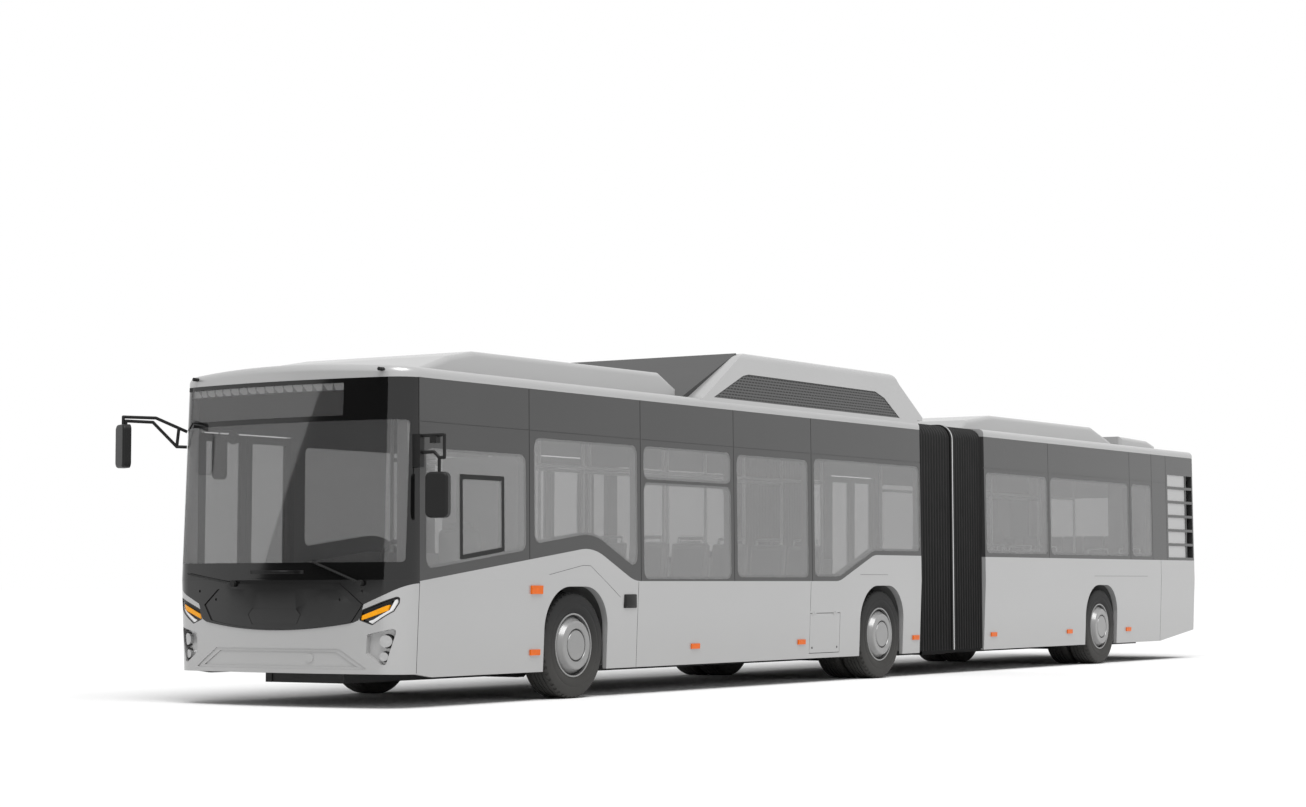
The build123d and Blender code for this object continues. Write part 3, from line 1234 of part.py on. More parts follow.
def door_leaf(x_rear, x_front, pivot_x):
    """One leaf on the right side: a frame that follows the wall's outer form, with a glass-thick pane."""
    with BuildPart() as leaf:
        with BuildSketch(Plane.YZ.offset(x_rear)):
            outer = [(-outer_y(z) + DOOR_SINK, z) for z in (DOOR_LOW_Z, KNEE_Z, DOOR_TOP_Z)]
            Polygon(*outer, *[(y + DOOR_T, z) for y, z in reversed(outer)], align=None)
        extrude(amount=x_front - x_rear)
        for z0, z1 in ((DOOR_LOW_Z + DOOR_FRAME, KNEE_Z - 30), (KNEE_Z + 30, DOOR_TOP_Z - DOOR_FRAME)):
            mid_y = (outer_y(z0) + outer_y(z1)) / 2 - DOOR_SINK - DOOR_T / 2
            x0, x1 = x_rear + DOOR_FRAME, x_front - DOOR_FRAME
            add(block(x0, x1, -mid_y - 80, -mid_y - PANE_T / 2, z0, z1), mode=Mode.SUBTRACT)
            add(block(x0, x1, -mid_y + PANE_T / 2, -mid_y + 80, z0, z1), mode=Mode.SUBTRACT)
        add(rod((pivot_x, PIVOT_Y, DOOR_SILL_Z + PIVOT_GAP), (pivot_x, PIVOT_Y, DOOR_LOW_Z + 20), PIVOT_R))
        add(rod((pivot_x, PIVOT_Y, DOOR_TOP_Z - 20), (pivot_x, PIVOT_Y, DOOR_HEAD_Z - PIVOT_GAP), PIVOT_R))
    return leaf.part


for name, (x_rear, x_front) in DOORWAYS.items():
    middle = (x_rear + x_front) / 2
    fore, aft = x_front - POST_GAP, x_rear + POST_GAP
    finish(door_leaf(middle + MEETING_GAP / 2, fore, fore - PIVOT_IN), f"{name}_door_fore_leaf")
    finish(door_leaf(aft, middle - MEETING_GAP / 2, aft + PIVOT_IN), f"{name}_door_aft_leaf")

# ---------------------------------------------------------------- driver's place
CAB_DECK_Z = 480
CAB_X = (6700, 8180)
CAB_Y = (300, INNER - 10)
WHEEL_HUB = (7820, 700, 1190)       # the steering wheel's centre
with BuildPart() as steering_wheel:
    with BuildSketch(Plane(origin=WHEEL_HUB, x_dir=(0, 1, 0), z_dir=(-230, 0, 90))):
        Circle(225)
        Circle(190, mode=Mode.SUBTRACT)
        Rectangle(400, 40)
    extrude(amount=13, both=True)
with BuildPart() as driver_cab:
    add(block(*CAB_X, *CAB_Y, FLOOR_Z, CAB_DECK_Z))
    add(block(6700, 6730, *CAB_Y, CAB_DECK_Z, 2150))
    add(block(6730, 7550, 300, 330, CAB_DECK_Z, 1300))
    add(across([(8180, FLOOR_Z), (8460, FLOOR_Z), (8460, 1110), (8000, 1180), (7860, 1130), (8100, 980)], INNER - 10))
    add(block(7800, 8500, -INNER, -200, FLOOR_Z, ROOF_Z), mode=Mode.SUBTRACT)
    add(nose_core(FLOOR_Z, RAIL_Z, FRONT_END_X), mode=Mode.INTERSECT)
    add(rod((8050, 700, 1100), WHEEL_HUB, 30))
    add(steering_wheel.part)
finish(driver_cab.part, "driver_cab")

# ---------------------------------------------------------------- seats and handrails
SEAT_DEPTH = 430
CUSHION = [(-80, 765), (-80, 830), (385, 830), (432, 808), (425, 775), (380, 755), (-60, 755)]
CUSHION_LOW_Z = min(z for _, z in CUSHION)
CUSHION_TOP_Z = max(z for _, z in CUSHION)
BACK_HEIGHT = 600
BACK_T = 45
BACK_CORNER_R = 75
BACK_LEAN = 8           # degrees
BACK_SPLIT = 24         # gap between the two backs of a bench
SEAT_PITCH = 760
# Benches for two: where the cushion's rear edge is, side
FRONT_BENCHES = [(x, 1) for x in (4500, 3740, 2980, 2220, 1460)] + [(x, -1) for x in (4500, 3740, 1400)]
REAR_BENCHES = [(x, 1) for x in (-3100, -3860, -4620, -7300)] + [(x, -1) for x in (-7300,)]
BENCH_Y = (300, INNER - 10)
DRIVER_SEAT_X = 7080
DRIVER_SEAT_Y = (460, 940)


def seat(x, y0, y1, backs, base_z=0):
    """A seat between y0 and y1: foot, cushion and a number of leaning backs, each close above the other."""
    pitch = (y1 - y0) / backs
    lean = radians(BACK_LEAN)
    foot_z = CUSHION_TOP_Z + SEAT_GAP + BACK_T * sin(lean) + base_z
    with BuildPart() as body:
        with BuildSketch(Plane.XZ.offset(-y1)):
            Polygon(*[(x + dx, z + base_z) for dx, z in CUSHION], align=None)
        extrude(amount=y1 - y0)
        add(block(x + 130, x + 250, y0 + pitch / 3, y1 - pitch / 3, FLOOR_Z + base_z, CUSHION_LOW_Z - SEAT_GAP + base_z))
        for place in range(backs):
            origin = (x - 20, y0 + pitch * (place + 0.5), foot_z)
            with BuildSketch(Plane(origin, x_dir=(0, 1, 0), z_dir=(cos(lean), 0, sin(lean)))):
                with Locations((0, BACK_HEIGHT / 2)):
                    RectangleRounded(pitch - BACK_SPLIT, BACK_HEIGHT, BACK_CORNER_R)
            extrude(amount=-BACK_T)
    return body.part


def benches(places):
    """Seats for two along the walls, given by the cushion's rear edge and side."""
    near, far = BENCH_Y
    with BuildPart() as row:
        for x, side in places:
            add(seat(x, *sorted((side * near, side * far)), 2))
    return row.part


with BuildPart() as front_seats:
    add(benches(FRONT_BENCHES))
    add(seat(DRIVER_SEAT_X, *DRIVER_SEAT_Y, 1, CAB_DECK_Z - FLOOR_Z))
finish(front_seats.part, "front_seats")

with BuildPart() as rear_seats:
    add(benches(REAR_BENCHES))
    add(block(-8700, -8200, -1150, TOWER["inner"] - 20, ENGINE_BAY_TOP_Z, ENGINE_BAY_TOP_Z + 430))
finish(rear_seats.part, "rear_seats")

POST_R = 17.5
RAIL_HIGH_Z = 2150
POST_Y = 260
FRONT_POSTS = [(1, (5250, 4440, 2920, 1400, -300)), (-1, (6750, 5250, 4440, 3560, 2180, 1340, -300))]
REAR_POSTS = [(1, (-2700, -3160, -4680, -7240)), (-1, (-2700, -4400, -5100, -7240))]


def handrails(rows):
    """Posts from floor to ceiling along each side of the aisle, with a high rail from post to post."""
    with BuildPart() as rails_and_posts:
        for side, xs in rows:
            y = side * POST_Y
            for x in xs:
                add(rod((x, y, FLOOR_Z), (x, y, CEILING_Z), POST_R))
            for x0, x1 in zip(sorted(xs), sorted(xs)[1:]):
                ends = x0 + POST_R + SEAT_GAP, x1 - POST_R - SEAT_GAP
                add(rod((ends[0], y, RAIL_HIGH_Z), (ends[1], y, RAIL_HIGH_Z), POST_R))
    return rails_and_posts.part


finish(handrails(FRONT_POSTS), "front_handrails")
finish(handrails(REAR_POSTS), "rear_handrails")
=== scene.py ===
"""Articulated bus: paints, glazing, trim, lamps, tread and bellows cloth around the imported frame."""

from math import atan2, cos, hypot, pi, radians, sin

import bmesh
import bpy
from mathutils import Matrix, Vector


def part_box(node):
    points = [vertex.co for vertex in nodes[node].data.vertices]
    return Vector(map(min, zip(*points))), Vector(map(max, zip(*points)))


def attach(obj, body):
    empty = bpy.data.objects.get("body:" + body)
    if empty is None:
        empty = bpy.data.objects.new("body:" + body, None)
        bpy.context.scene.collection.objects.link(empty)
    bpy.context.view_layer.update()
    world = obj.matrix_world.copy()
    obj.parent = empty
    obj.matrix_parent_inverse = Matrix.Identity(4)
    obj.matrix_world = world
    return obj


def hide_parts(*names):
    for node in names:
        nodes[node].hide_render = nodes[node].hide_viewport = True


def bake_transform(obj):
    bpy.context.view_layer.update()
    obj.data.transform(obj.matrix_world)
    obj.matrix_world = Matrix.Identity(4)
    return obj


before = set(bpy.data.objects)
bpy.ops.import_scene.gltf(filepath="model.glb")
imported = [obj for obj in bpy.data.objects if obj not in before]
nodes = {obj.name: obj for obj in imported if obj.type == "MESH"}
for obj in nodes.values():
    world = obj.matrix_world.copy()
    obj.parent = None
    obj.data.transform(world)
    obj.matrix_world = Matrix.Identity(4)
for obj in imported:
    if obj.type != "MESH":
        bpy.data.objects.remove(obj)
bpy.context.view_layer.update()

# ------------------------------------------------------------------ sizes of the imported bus, in metres
HALF = 1.275            # half width over the side panels, at the knee
SKIRT_Z = 0.252         # lower edge of the side panels
KNEE_Z = 1.060          # height at which the side panels are widest
RAIL_Z = 2.736          # lower edge of the roof
TUCK = 0.035            # how far the skirt's edge stands in from the knee
LEAN = 0.013            # how far the roof's edge stands in from the knee
NOSE_X = 8.655          # foremost point of the body, at the knee
NOSE_RAKE = 0.060       # how far the screen leans back between knee and roof
NOSE_BOW = 0.150        # how far the nose falls back from the centre to the side
PILLAR_X = 8.304        # seam between nose and side panels
BELT_Z = 1.048          # lower edge of the window band at that seam
BELT_RISE = 0.121       # how steeply it rises towards the rear
AXLE_Z = 0.475
AXLES = {"front": (6.0, 1), "middle": (0.16, 2), "rear": (-5.806, 2)}      # x, tyres on each side
TYRE_Y = 1.096          # middle of each outer tyre
TYRE_FACE_Y = 1.234     # its outer sidewall
TWIN_SPACING = 0.306
SIDES = (("left", 1), ("right", -1))
WHEEL_NAMES = [f"{axle}_{side_name}" for axle in AXLES for side_name, _ in SIDES]
DOOR_LEAVES = [f"{door}_door_{leaf}_leaf" for door in AXLES for leaf in ("fore", "aft")]


# ------------------------------------------------------------------ finishes
def srgb(value):
    """A linear grey from the 0-255 level that a painter's card gives."""
    c = value / 255
    return c / 12.92 if c <= 0.04045 else ((c + 0.055) / 1.055) ** 2.4


def grey(level):
    """A neutral colour from its 0-255 level."""
    return (srgb(level),) * 3


def finish(
    name, colour, rough, metal=0.0, coat=0.0, drift=0.05, patch=1.5, grain=0.0, grain_size=400.0, dust=0.0,
    gloss=0.5,
):
    """One finish: its colour drifts over patches, its surface carries a fine grain, dust gathers low down."""
    made = bpy.data.materials.new(name)
    made.use_nodes = True
    tree = made.node_tree
    link = tree.links.new
    shader = tree.nodes["Principled BSDF"]
    shader.inputs["Roughness"].default_value = rough
    shader.inputs["Metallic"].default_value = metal
    shader.inputs["Coat Weight"].default_value = coat
    shader.inputs["Coat Roughness"].default_value = 0.05
    shader.inputs["Specular IOR Level"].default_value = gloss
    place = tree.nodes.new("ShaderNodeTexCoord")
    patches = tree.nodes.new("ShaderNodeTexNoise")
    patches.inputs["Scale"].default_value = patch
    patches.inputs["Detail"].default_value = 4.0
    shades = tree.nodes.new("ShaderNodeValToRGB")
    shades.color_ramp.elements[0].position = 0.3
    shades.color_ramp.elements[1].position = 0.7
    for element, factor in zip(shades.color_ramp.elements, (1 - drift, 1 + drift)):
        element.color = (*[min(1.0, c * factor) for c in colour], 1.0)
    link(place.outputs["Object"], patches.inputs["Vector"])
    link(patches.outputs["Fac"], shades.inputs["Fac"])
    coloured = shades.outputs["Color"]
    if dust:
        height = tree.nodes.new("ShaderNodeSeparateXYZ")
        low = tree.nodes.new("ShaderNodeMapRange")
        low.inputs["From Min"].default_value = 0.75
        low.inputs["From Max"].default_value = 0.25
        low.inputs["To Max"].default_value = dust
        film = tree.nodes.new("ShaderNodeMixRGB")
        film.inputs["Color2"].default_value = (0.23, 0.22, 0.2, 1.0)
        link(place.outputs["Object"], height.inputs[0])
        link(height.outputs["Z"], low.inputs["Value"])
        link(low.outputs["Result"], film.inputs["Fac"])
        link(coloured, film.inputs["Color1"])
        coloured = film.outputs["Color"]
    link(coloured, shader.inputs["Base Color"])
    if grain:
        speckle = tree.nodes.new("ShaderNodeTexNoise")
        speckle.inputs["Scale"].default_value = grain_size
        relief = tree.nodes.new("ShaderNodeBump")
        relief.inputs["Strength"].default_value = grain
        relief.inputs["Distance"].default_value = 0.001
        link(place.outputs["Object"], speckle.inputs["Vector"])
        link(speckle.outputs["Fac"], relief.inputs["Height"])
        link(relief.outputs["Normal"], shader.inputs["Normal"])
    return made


def pane(name, colour, alpha):
    """Tinted glass: a clear sheet whose tint drifts a little over its height."""
    made = finish(name, colour, 0.03, drift=0.04, patch=0.5)
    made.node_tree.nodes["Principled BSDF"].inputs["Alpha"].default_value = alpha
    return made


body_paint = finish(
    "silver_paint", grey(176), 0.3, metal=0.3, coat=0.15, drift=0.015, patch=0.6, grain=0.02, grain_size=900,
    dust=0.1,
)
band_paint = finish("dark_band_paint", grey(60), 0.14, drift=0.04, patch=0.8)
gloss_black = finish("gloss_black", grey(16), 0.08, drift=0.1, patch=1.0)
satin_black = finish(
    "satin_black_moulding", grey(26), 0.42, gloss=0.22, drift=0.08, patch=3.0, grain=0.15, grain_size=700
)
seam_black = finish("seam_black", grey(34), 0.7, drift=0.1, patch=6.0)
seal_rubber = finish(
    "seal_rubber", grey(26), 0.62, gloss=0.25, drift=0.12, patch=9.0, grain=0.2, grain_size=500
)
chassis_paint = finish("chassis_black", grey(30), 0.6, drift=0.2, patch=4.0, grain=0.3, grain_size=120)
tyre_rubber = finish(
    "tyre_rubber", grey(40), 0.72, gloss=0.25, drift=0.08, patch=6.0, grain=0.25, grain_size=300, dust=0.12
)
wheel_paint = finish("wheel_silver", grey(142), 0.28, metal=0.2, coat=0.2, drift=0.04, patch=5.0, dust=0.12)
seat_shell = finish("seat_shell", grey(105), 0.5, drift=0.06, patch=4.0, grain=0.2, grain_size=500)
seat_insert = finish("seat_insert", grey(72), 0.85, drift=0.14, patch=60.0, grain=0.6, grain_size=260)
floor_cover = finish("floor_cover", grey(120), 0.65, drift=0.1, patch=9.0, grain=0.3, grain_size=240)
rail_steel = finish("brushed_rail", grey(205), 0.28, metal=0.6, drift=0.05, patch=12.0)
bellows_cloth = finish(
    "bellows_cloth", grey(26), 0.66, gloss=0.22, drift=0.15, patch=5.0, grain=0.5, grain_size=220
)
ring_metal = finish("ring_black", grey(24), 0.5, gloss=0.22, drift=0.06, patch=6.0)
trim_white = finish("ring_trim_white", grey(225), 0.4, drift=0.03, patch=6.0)
amber_lens = finish("amber_lens", (0.74, 0.13, 0.0), 0.35, gloss=0.3, drift=0.08, patch=20.0)
yellow_lens = finish("yellow_lens", (0.9, 0.36, 0.0), 0.3, gloss=0.3, drift=0.08, patch=20.0)
red_lens = finish("red_lens", (0.45, 0.01, 0.01), 0.2, coat=0.6, drift=0.08, patch=20.0)
lamp_glass = finish("lamp_glass", grey(228), 0.12, coat=0.8, drift=0.06, patch=12.0)
lamp_chrome = finish("lamp_chrome", grey(190), 0.12, metal=0.9, drift=0.06, patch=12.0)
mirror_glass = finish("mirror_glass", grey(215), 0.04, metal=1.0, drift=0.02, patch=5.0)
cab_plastic = finish("cab_plastic", grey(118), 0.5, drift=0.06, patch=3.0, grain=0.3, grain_size=500)
side_glass = pane("side_glass", grey(160), 0.46)
screen_glass = pane("screen_glass", grey(80), 0.42)
screen_glass.node_tree.nodes["Principled BSDF"].inputs["IOR"].default_value = 2.1
fairing_paint = finish("fairing_paint", grey(62), 0.45, gloss=0.3, drift=0.05, patch=1.0)
fog_lens = finish("fog_lens", grey(168), 0.1, coat=0.5, drift=0.08, patch=30.0)
door_glass = pane("door_glass", grey(110), 0.4)


def flat_view(tree, turn):
    """Object coordinates turned so that a pattern lies in the plane named by turn."""
    place = tree.nodes.new("ShaderNodeTexCoord")
    turned_place = tree.nodes.new("ShaderNodeMapping")
    turned_place.inputs["Rotation"].default_value = turn
    tree.links.new(place.outputs["Object"], turned_place.inputs["Vector"])
    return turned_place.outputs["Vector"]


def rows(name, base, turn, length, height, line, sheet, hole, depth=0.004):
    """A pattern of holes or lights in staggered rows on a sheet: dark holes are painted shade seen through
    them, lights keep their own colour.
    """
    made = finish(name, base, 0.45, drift=0.05, patch=4.0, gloss=0.25)
    tree = made.node_tree
    holes = tree.nodes.new("ShaderNodeTexBrick")
    holes.inputs["Scale"].default_value = 1.0
    holes.inputs["Brick Width"].default_value = length
    holes.inputs["Row Height"].default_value = height
    holes.inputs["Mortar Size"].default_value = line
    holes.inputs["Mortar Smooth"].default_value = 0.1
    holes.inputs["Color1"].default_value = (*hole, 1)
    holes.inputs["Color2"].default_value = (*[c * 1.3 for c in hole], 1)
    holes.inputs["Mortar"].default_value = (*sheet, 1)
    holes.offset = 0.5
    tree.links.new(flat_view(tree, turn), holes.inputs["Vector"])
    shader = tree.nodes["Principled BSDF"]
    tree.links.new(holes.outputs["Color"], shader.inputs["Base Color"])
    relief = tree.nodes.new("ShaderNodeBump")
    relief.inputs["Strength"].default_value = 0.8
    relief.inputs["Distance"].default_value = depth
    tree.links.new(holes.outputs["Fac"], relief.inputs["Height"])
    tree.links.new(relief.outputs["Normal"], shader.inputs["Normal"])
    return made


SIDE_ON = (radians(90), 0, 0)
HEAD_ON = (0, radians(90), radians(90))
# the perforated sheet's holes are painted dark, as the shade seen through them
mesh_sheet_hole_shade = rows("perforated_sheet_hole_shade", grey(92), SIDE_ON, 0.06, 0.03, 0.009, grey(84), grey(20))
display_matrix = rows(
    "display_matrix", grey(22), HEAD_ON, 0.016, 0.016, 0.004, grey(12), (0.03, 0.012, 0.008), depth=0.0005
)

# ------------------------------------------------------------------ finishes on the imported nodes
NODE_FINISH = {
    body_paint: "front_side_panels front_end front_bumper front_roof front_roof_pod gas_cowl service_flap "
    "rear_side_panels rear_roof rear_roof_pods rear_end rear_hatch",
    band_paint: "front_window_frames rear_window_frames",
    fairing_paint: "cowl_fairing",
    side_glass: "front_windows rear_windows",
    screen_glass: "windscreen",
    gloss_black: "front_mask screen_border",
    satin_black: "wipers mirrors",
    cab_plastic: "driver_cab",
    lamp_glass: "front_lamps",
    red_lens: "rear_lamps",
    display_matrix: "destination_display",
    mesh_sheet_hole_shade: "cowl_mesh",
    floor_cover: "front_floor rear_floor",
    chassis_paint: "front_chassis rear_chassis knuckle_left knuckle_right engine",
    rail_steel: "front_handrails rear_handrails",
    ring_metal: "bellows_ring",
    wheel_paint: " ".join(f"{wheel}_rim" for wheel in WHEEL_NAMES),
    seam_black: "front_seats rear_seats bellows_front bellows_rear "
    + " ".join(f"{wheel}_tyre" for wheel in WHEEL_NAMES),
    door_glass: " ".join(DOOR_LEAVES),
}
for made, names in NODE_FINISH.items():
    for name in names.split():
        shown = nodes[name]
        shown.data.materials.clear()
        shown.data.materials.append(made)


def repaint(name, extra, chosen):
    """Gives a second finish to the faces of a node whose centre and normal chosen accepts."""
    mesh = nodes[name].data
    mesh.materials.append(extra)
    place = len(mesh.materials) - 1
    for face in mesh.polygons:
        if chosen(face.center, face.normal):
            face.material_index = place


def within(point, corners):
    """Whether a point lies in a convex outline."""
    u, v = point
    turns = [
        (b[0] - a[0]) * (v - a[1]) - (b[1] - a[1]) * (u - a[0])
        for a, b in zip(corners, corners[1:] + corners[:1])
    ]
    return min(turns) > -1e-5 or max(turns) < 1e-5


HEADLAMPS_X = 8.31      # the headlamps stand ahead of this
FOG_LAMPS_X = 8.2       # the fog lamps ahead of this and below FOG_LAMPS_Z
FOG_LAMPS_Z = 0.66
TAIL_LAMPS_X = -8.0     # the red lamps stand behind this
AMBER_STRIP = [(0.884, 0.766), (1.132, 0.858), (1.112, 0.806), (0.876, 0.726)]
BROW_STRIP = [(0.895, 0.806), (1.150, 0.893), (1.140, 0.868), (0.890, 0.782)]


def fog_lamp(c):
    """Whether a point lies on a fog lamp."""
    return c.x > FOG_LAMPS_X and c.z < FOG_LAMPS_Z


repaint("front_lamps", yellow_lens, lambda c, n: c.x > HEADLAMPS_X and within((abs(c.y), c.z), AMBER_STRIP))
repaint("front_lamps", satin_black, lambda c, n: c.x > HEADLAMPS_X and within((abs(c.y), c.z), BROW_STRIP))
repaint("front_lamps", amber_lens, lambda c, n: c.x < FOG_LAMPS_X)
repaint("front_lamps", lamp_chrome, lambda c, n: fog_lamp(c) and n.x < 0.6)
repaint("front_lamps", fog_lens, lambda c, n: fog_lamp(c) and n.x >= 0.6)
repaint("rear_lamps", amber_lens, lambda c, n: c.x > TAIL_LAMPS_X)


def mirror_face(c, n):
    """Whether a face is the glass of an outer mirror or of the one behind the screen."""
    outer = abs(c.y) > 1.39
    inner = c.z > 1.95 and c.x > 8.3 and abs(c.y) < 0.99
    return n.x < -0.85 and 1.57 < c.z < 2.4 and (outer or inner)


repaint("mirrors", mirror_glass, mirror_face)

LEAF_FRAME = 0.069                                # width of a door leaf's frame
LEAF_PANES_Z = ((0.423, 1.031), (1.089, 2.291))
LEAF_PANES_Y = (-1.262, -1.21)


def leaf_frame_faces(leaf):
    """The test that picks the faces of a door leaf's frame, around its two panes."""
    low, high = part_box(leaf)

    def on_frame(c, n):
        return not (
            low.x + LEAF_FRAME < c.x < high.x - LEAF_FRAME
            and any(foot < c.z < top for foot, top in LEAF_PANES_Z)
            and abs(n.y) > 0.8
            and LEAF_PANES_Y[0] < c.y < LEAF_PANES_Y[1]
        )

    return on_frame


for leaf in DOOR_LEAVES:
    repaint(leaf, band_paint, leaf_frame_faces(leaf))


# ------------------------------------------------------------------ helpers for new pieces
def piece(name, made, body, *finishes, slot=None, sharp=35):
    """Turns a finished bmesh into one object that rides on a body."""
    bmesh.ops.recalc_face_normals(made, faces=made.faces)
    mesh = bpy.data.meshes.new(name)
    made.to_mesh(mesh)
    made.free()
    mesh.polygons.foreach_set("use_smooth", [True] * len(mesh.polygons))
    mesh.set_sharp_from_angle(angle=radians(sharp))
    for used in finishes:
        mesh.materials.append(used)
    obj = bpy.data.objects.new(name, mesh)
    bpy.context.collection.objects.link(obj)
    if body:
        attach(obj, body)
    return obj


def add_box(made, low, high, edge=0.0, segments=2, finish_index=0):
    """A box between two corners with rounded edges."""
    corners = bmesh.ops.create_cube(made, size=1)["verts"]
    bmesh.ops.scale(made, vec=[h - l for l, h in zip(low, high)], verts=corners)
    bmesh.ops.translate(made, vec=[(h + l) / 2 for l, h in zip(low, high)], verts=corners)
    for face in {f for v in corners for f in v.link_faces}:
        face.material_index = finish_index
    if edge:
        edges = list({e for v in corners for e in v.link_edges})
        bmesh.ops.bevel(
            made, geom=edges, offset=edge, segments=segments, affect="EDGES", profile=0.5, material=-1
        )


def add_rod(made, start, end, radius, sides=12, finish_index=0):
    """A round bar between two points."""
    run = Vector(end) - Vector(start)
    turn = run.to_track_quat("Z", "Y").to_matrix().to_4x4()
    place = Matrix.Translation((Vector(start) + Vector(end)) / 2) @ turn
    ends = bmesh.ops.create_cone(
        made, cap_ends=True, segments=sides, radius1=radius, radius2=radius, depth=run.length, matrix=place
    )
    for face in {f for v in ends["verts"] for f in v.link_faces}:
        face.material_index = finish_index


def add_ring(made, section, axle_x, centre_y, steps):
    """A ring about an axle, spun from a closed section of distances from it and places across the bus."""
    points = [made.verts.new((axle_x, y, AXLE_Z + r)) for r, y in section]
    outline = [made.edges.new(pair) for pair in zip(points, points[1:] + points[:1])]
    bmesh.ops.spin(
        made, geom=points + outline, cent=(axle_x, centre_y, AXLE_Z), axis=(0, 1, 0), dvec=(0, 0, 0),
        angle=2 * pi, steps=steps, use_merge=True,
    )


def side_y(z):
    """Half width of the side panels' outer face at height z."""
    if z < KNEE_Z:
        return HALF - TUCK * (KNEE_Z - z) / (KNEE_Z - SKIRT_Z)
    return HALF - LEAN * (z - KNEE_Z) / (RAIL_Z - KNEE_Z)


SINK = 0.002            # how deep trim reaches into a side panel


def on_side(made, side, x0, x1, z0, z1, proud=0.0008):
    """An upright or level strip lying on a side panel."""
    levels = [z0] + ([KNEE_Z] if z0 < KNEE_Z < z1 else []) + [z1]
    for low, high in zip(levels, levels[1:]):
        sloping_strip(made, side, x0, x1, lambda x: low, lambda x: high, proud)


def sloping_strip(made, side, x0, x1, low_z, high_z, proud):
    """A strip on a side panel whose lower and upper edges stand at low_z and high_z of their x."""
    for corner in bmesh.ops.create_cube(made, size=1)["verts"]:
        x = x1 if corner.co.x > 0 else x0
        z = high_z(x) if corner.co.z > 0 else low_z(x)
        corner.co = (x, side * (side_y(z) + (proud if corner.co.y > 0 else -SINK)), z)


def parts_of(start, end, count):
    """The places that cut a stretch into count equal parts, as pairs."""
    places = [start + (end - start) * i / count for i in range(count + 1)]
    return list(zip(places, places[1:]))


def nose_x(y, z):
    """Where the nose's outer face stands, ahead of its corners."""
    rake = NOSE_RAKE * max(0.0, z - KNEE_Z) / (RAIL_Z - KNEE_Z)
    return NOSE_X - rake - NOSE_BOW * (y / HALF) ** 2


def on_nose(made, y0, y1, z0, z1, proud=0.001, steps=8):
    """A strip that follows the nose between two heights."""
    for near, far in parts_of(y0, y1, steps):
        for corner in bmesh.ops.create_cube(made, size=1)["verts"]:
            y = far if corner.co.y > 0 else near
            z = z1 if corner.co.z > 0 else z0
            corner.co = (nose_x(y, z) + (proud if corner.co.x > 0 else -0.004), y, z)
    bmesh.ops.remove_doubles(made, verts=made.verts, dist=1e-5)


# ------------------------------------------------------------------ tyres with tread
TREAD_HALF = [          # distance from the axle and from the tyre's middle plane
    (0.286, 0.122), (0.300, 0.130), (0.330, 0.1365), (0.346, 0.138), (0.368, 0.1378), (0.371, 0.1365),
    (0.374, 0.1365), (0.377, 0.1374), (0.410, 0.136), (0.430, 0.134), (0.446, 0.131), (0.458, 0.126),
    (0.468, 0.116), (0.4745, 0.100), (0.4748, 0.094), (0.4748, 0.068), (0.464, 0.066), (0.464, 0.058),
    (0.4748, 0.056), (0.4748, 0.024), (0.464, 0.022), (0.464, 0.014), (0.4748, 0.012),
]
TREAD = TREAD_HALF + [(r, -out) for r, out in reversed(TREAD_HALF)]
TREAD_STEPS = 96
SHOULDER_R = (0.461, 0.4742)
SHOULDER_OUT = (0.1, 0.125)
NOTCH_DEPTH = 0.006
COVER_GAP_SHADES = ((0.251, 0.2725, -0.0432), (0.1345, 0.1455, 0.0146))      # black rings painted as the shade in each wheel cover's edge gap and groove: radii, place beyond the tyre's face
COVER_GAP_SHADE_DEPTH = 0.003


def tyre(made, centre, side):
    """One tyre: its section spun about the axle, with notches round both shoulders."""
    add_ring(made, [(r, centre.y + side * out) for r, out in TREAD], centre.x, centre.y, TREAD_STEPS)
    bmesh.ops.recalc_face_normals(made, faces=made.faces)
    shoulder = []
    for face in made.faces:
        c = face.calc_center_median()
        r, out = hypot(c.x - centre.x, c.z - centre.z), abs(c.y - centre.y)
        turn = atan2(c.z - centre.z, c.x - centre.x) % (2 * pi)
        on_shoulder = SHOULDER_R[0] < r < SHOULDER_R[1] and SHOULDER_OUT[0] < out < SHOULDER_OUT[1]
        if on_shoulder and int(turn / (2 * pi) * TREAD_STEPS) % 2:
            shoulder.append(face)
    bmesh.ops.inset_individual(
        made, faces=shoulder, thickness=0.002, depth=-NOTCH_DEPTH, use_even_offset=True
    )


for axle, (axle_x, count) in AXLES.items():
    for side_name, side in SIDES:
        tyres = bmesh.new()
        for i in range(count):
            one = bmesh.new()
            tyre(one, Vector((axle_x, side * (TYRE_Y - TWIN_SPACING * i), AXLE_Z)), side)
            part = bpy.data.meshes.new("one_tyre")
            one.to_mesh(part)
            one.free()
            tyres.from_mesh(part)
            bpy.data.meshes.remove(part)
        wheel = f"{axle}_{side_name}"
        tread = piece(f"{wheel}_tread", tyres, f"{wheel}_wheel", tyre_rubber, slot="tyre", sharp=28)
        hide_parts(f"{axle}_{side_name}_tyre")

# black rings on each wheel cover, painted as the shade in its edge gap and its groove
for axle, (axle_x, _) in AXLES.items():
    for side_name, side in SIDES:
        gap_shade_rings = bmesh.new()
        for r0, r1, out in COVER_GAP_SHADES:
            face_y = side * (TYRE_FACE_Y + out)
            back_y = face_y - side * COVER_GAP_SHADE_DEPTH
            add_ring(gap_shade_rings, [(r0, face_y), (r1, face_y), (r1, back_y), (r0, back_y)], axle_x, 0, 72)
        wheel = f"{axle}_{side_name}"
        piece(f"{wheel}_cover_gap_shades", gap_shade_rings, f"{wheel}_wheel", seam_black, slot="black_plastic")

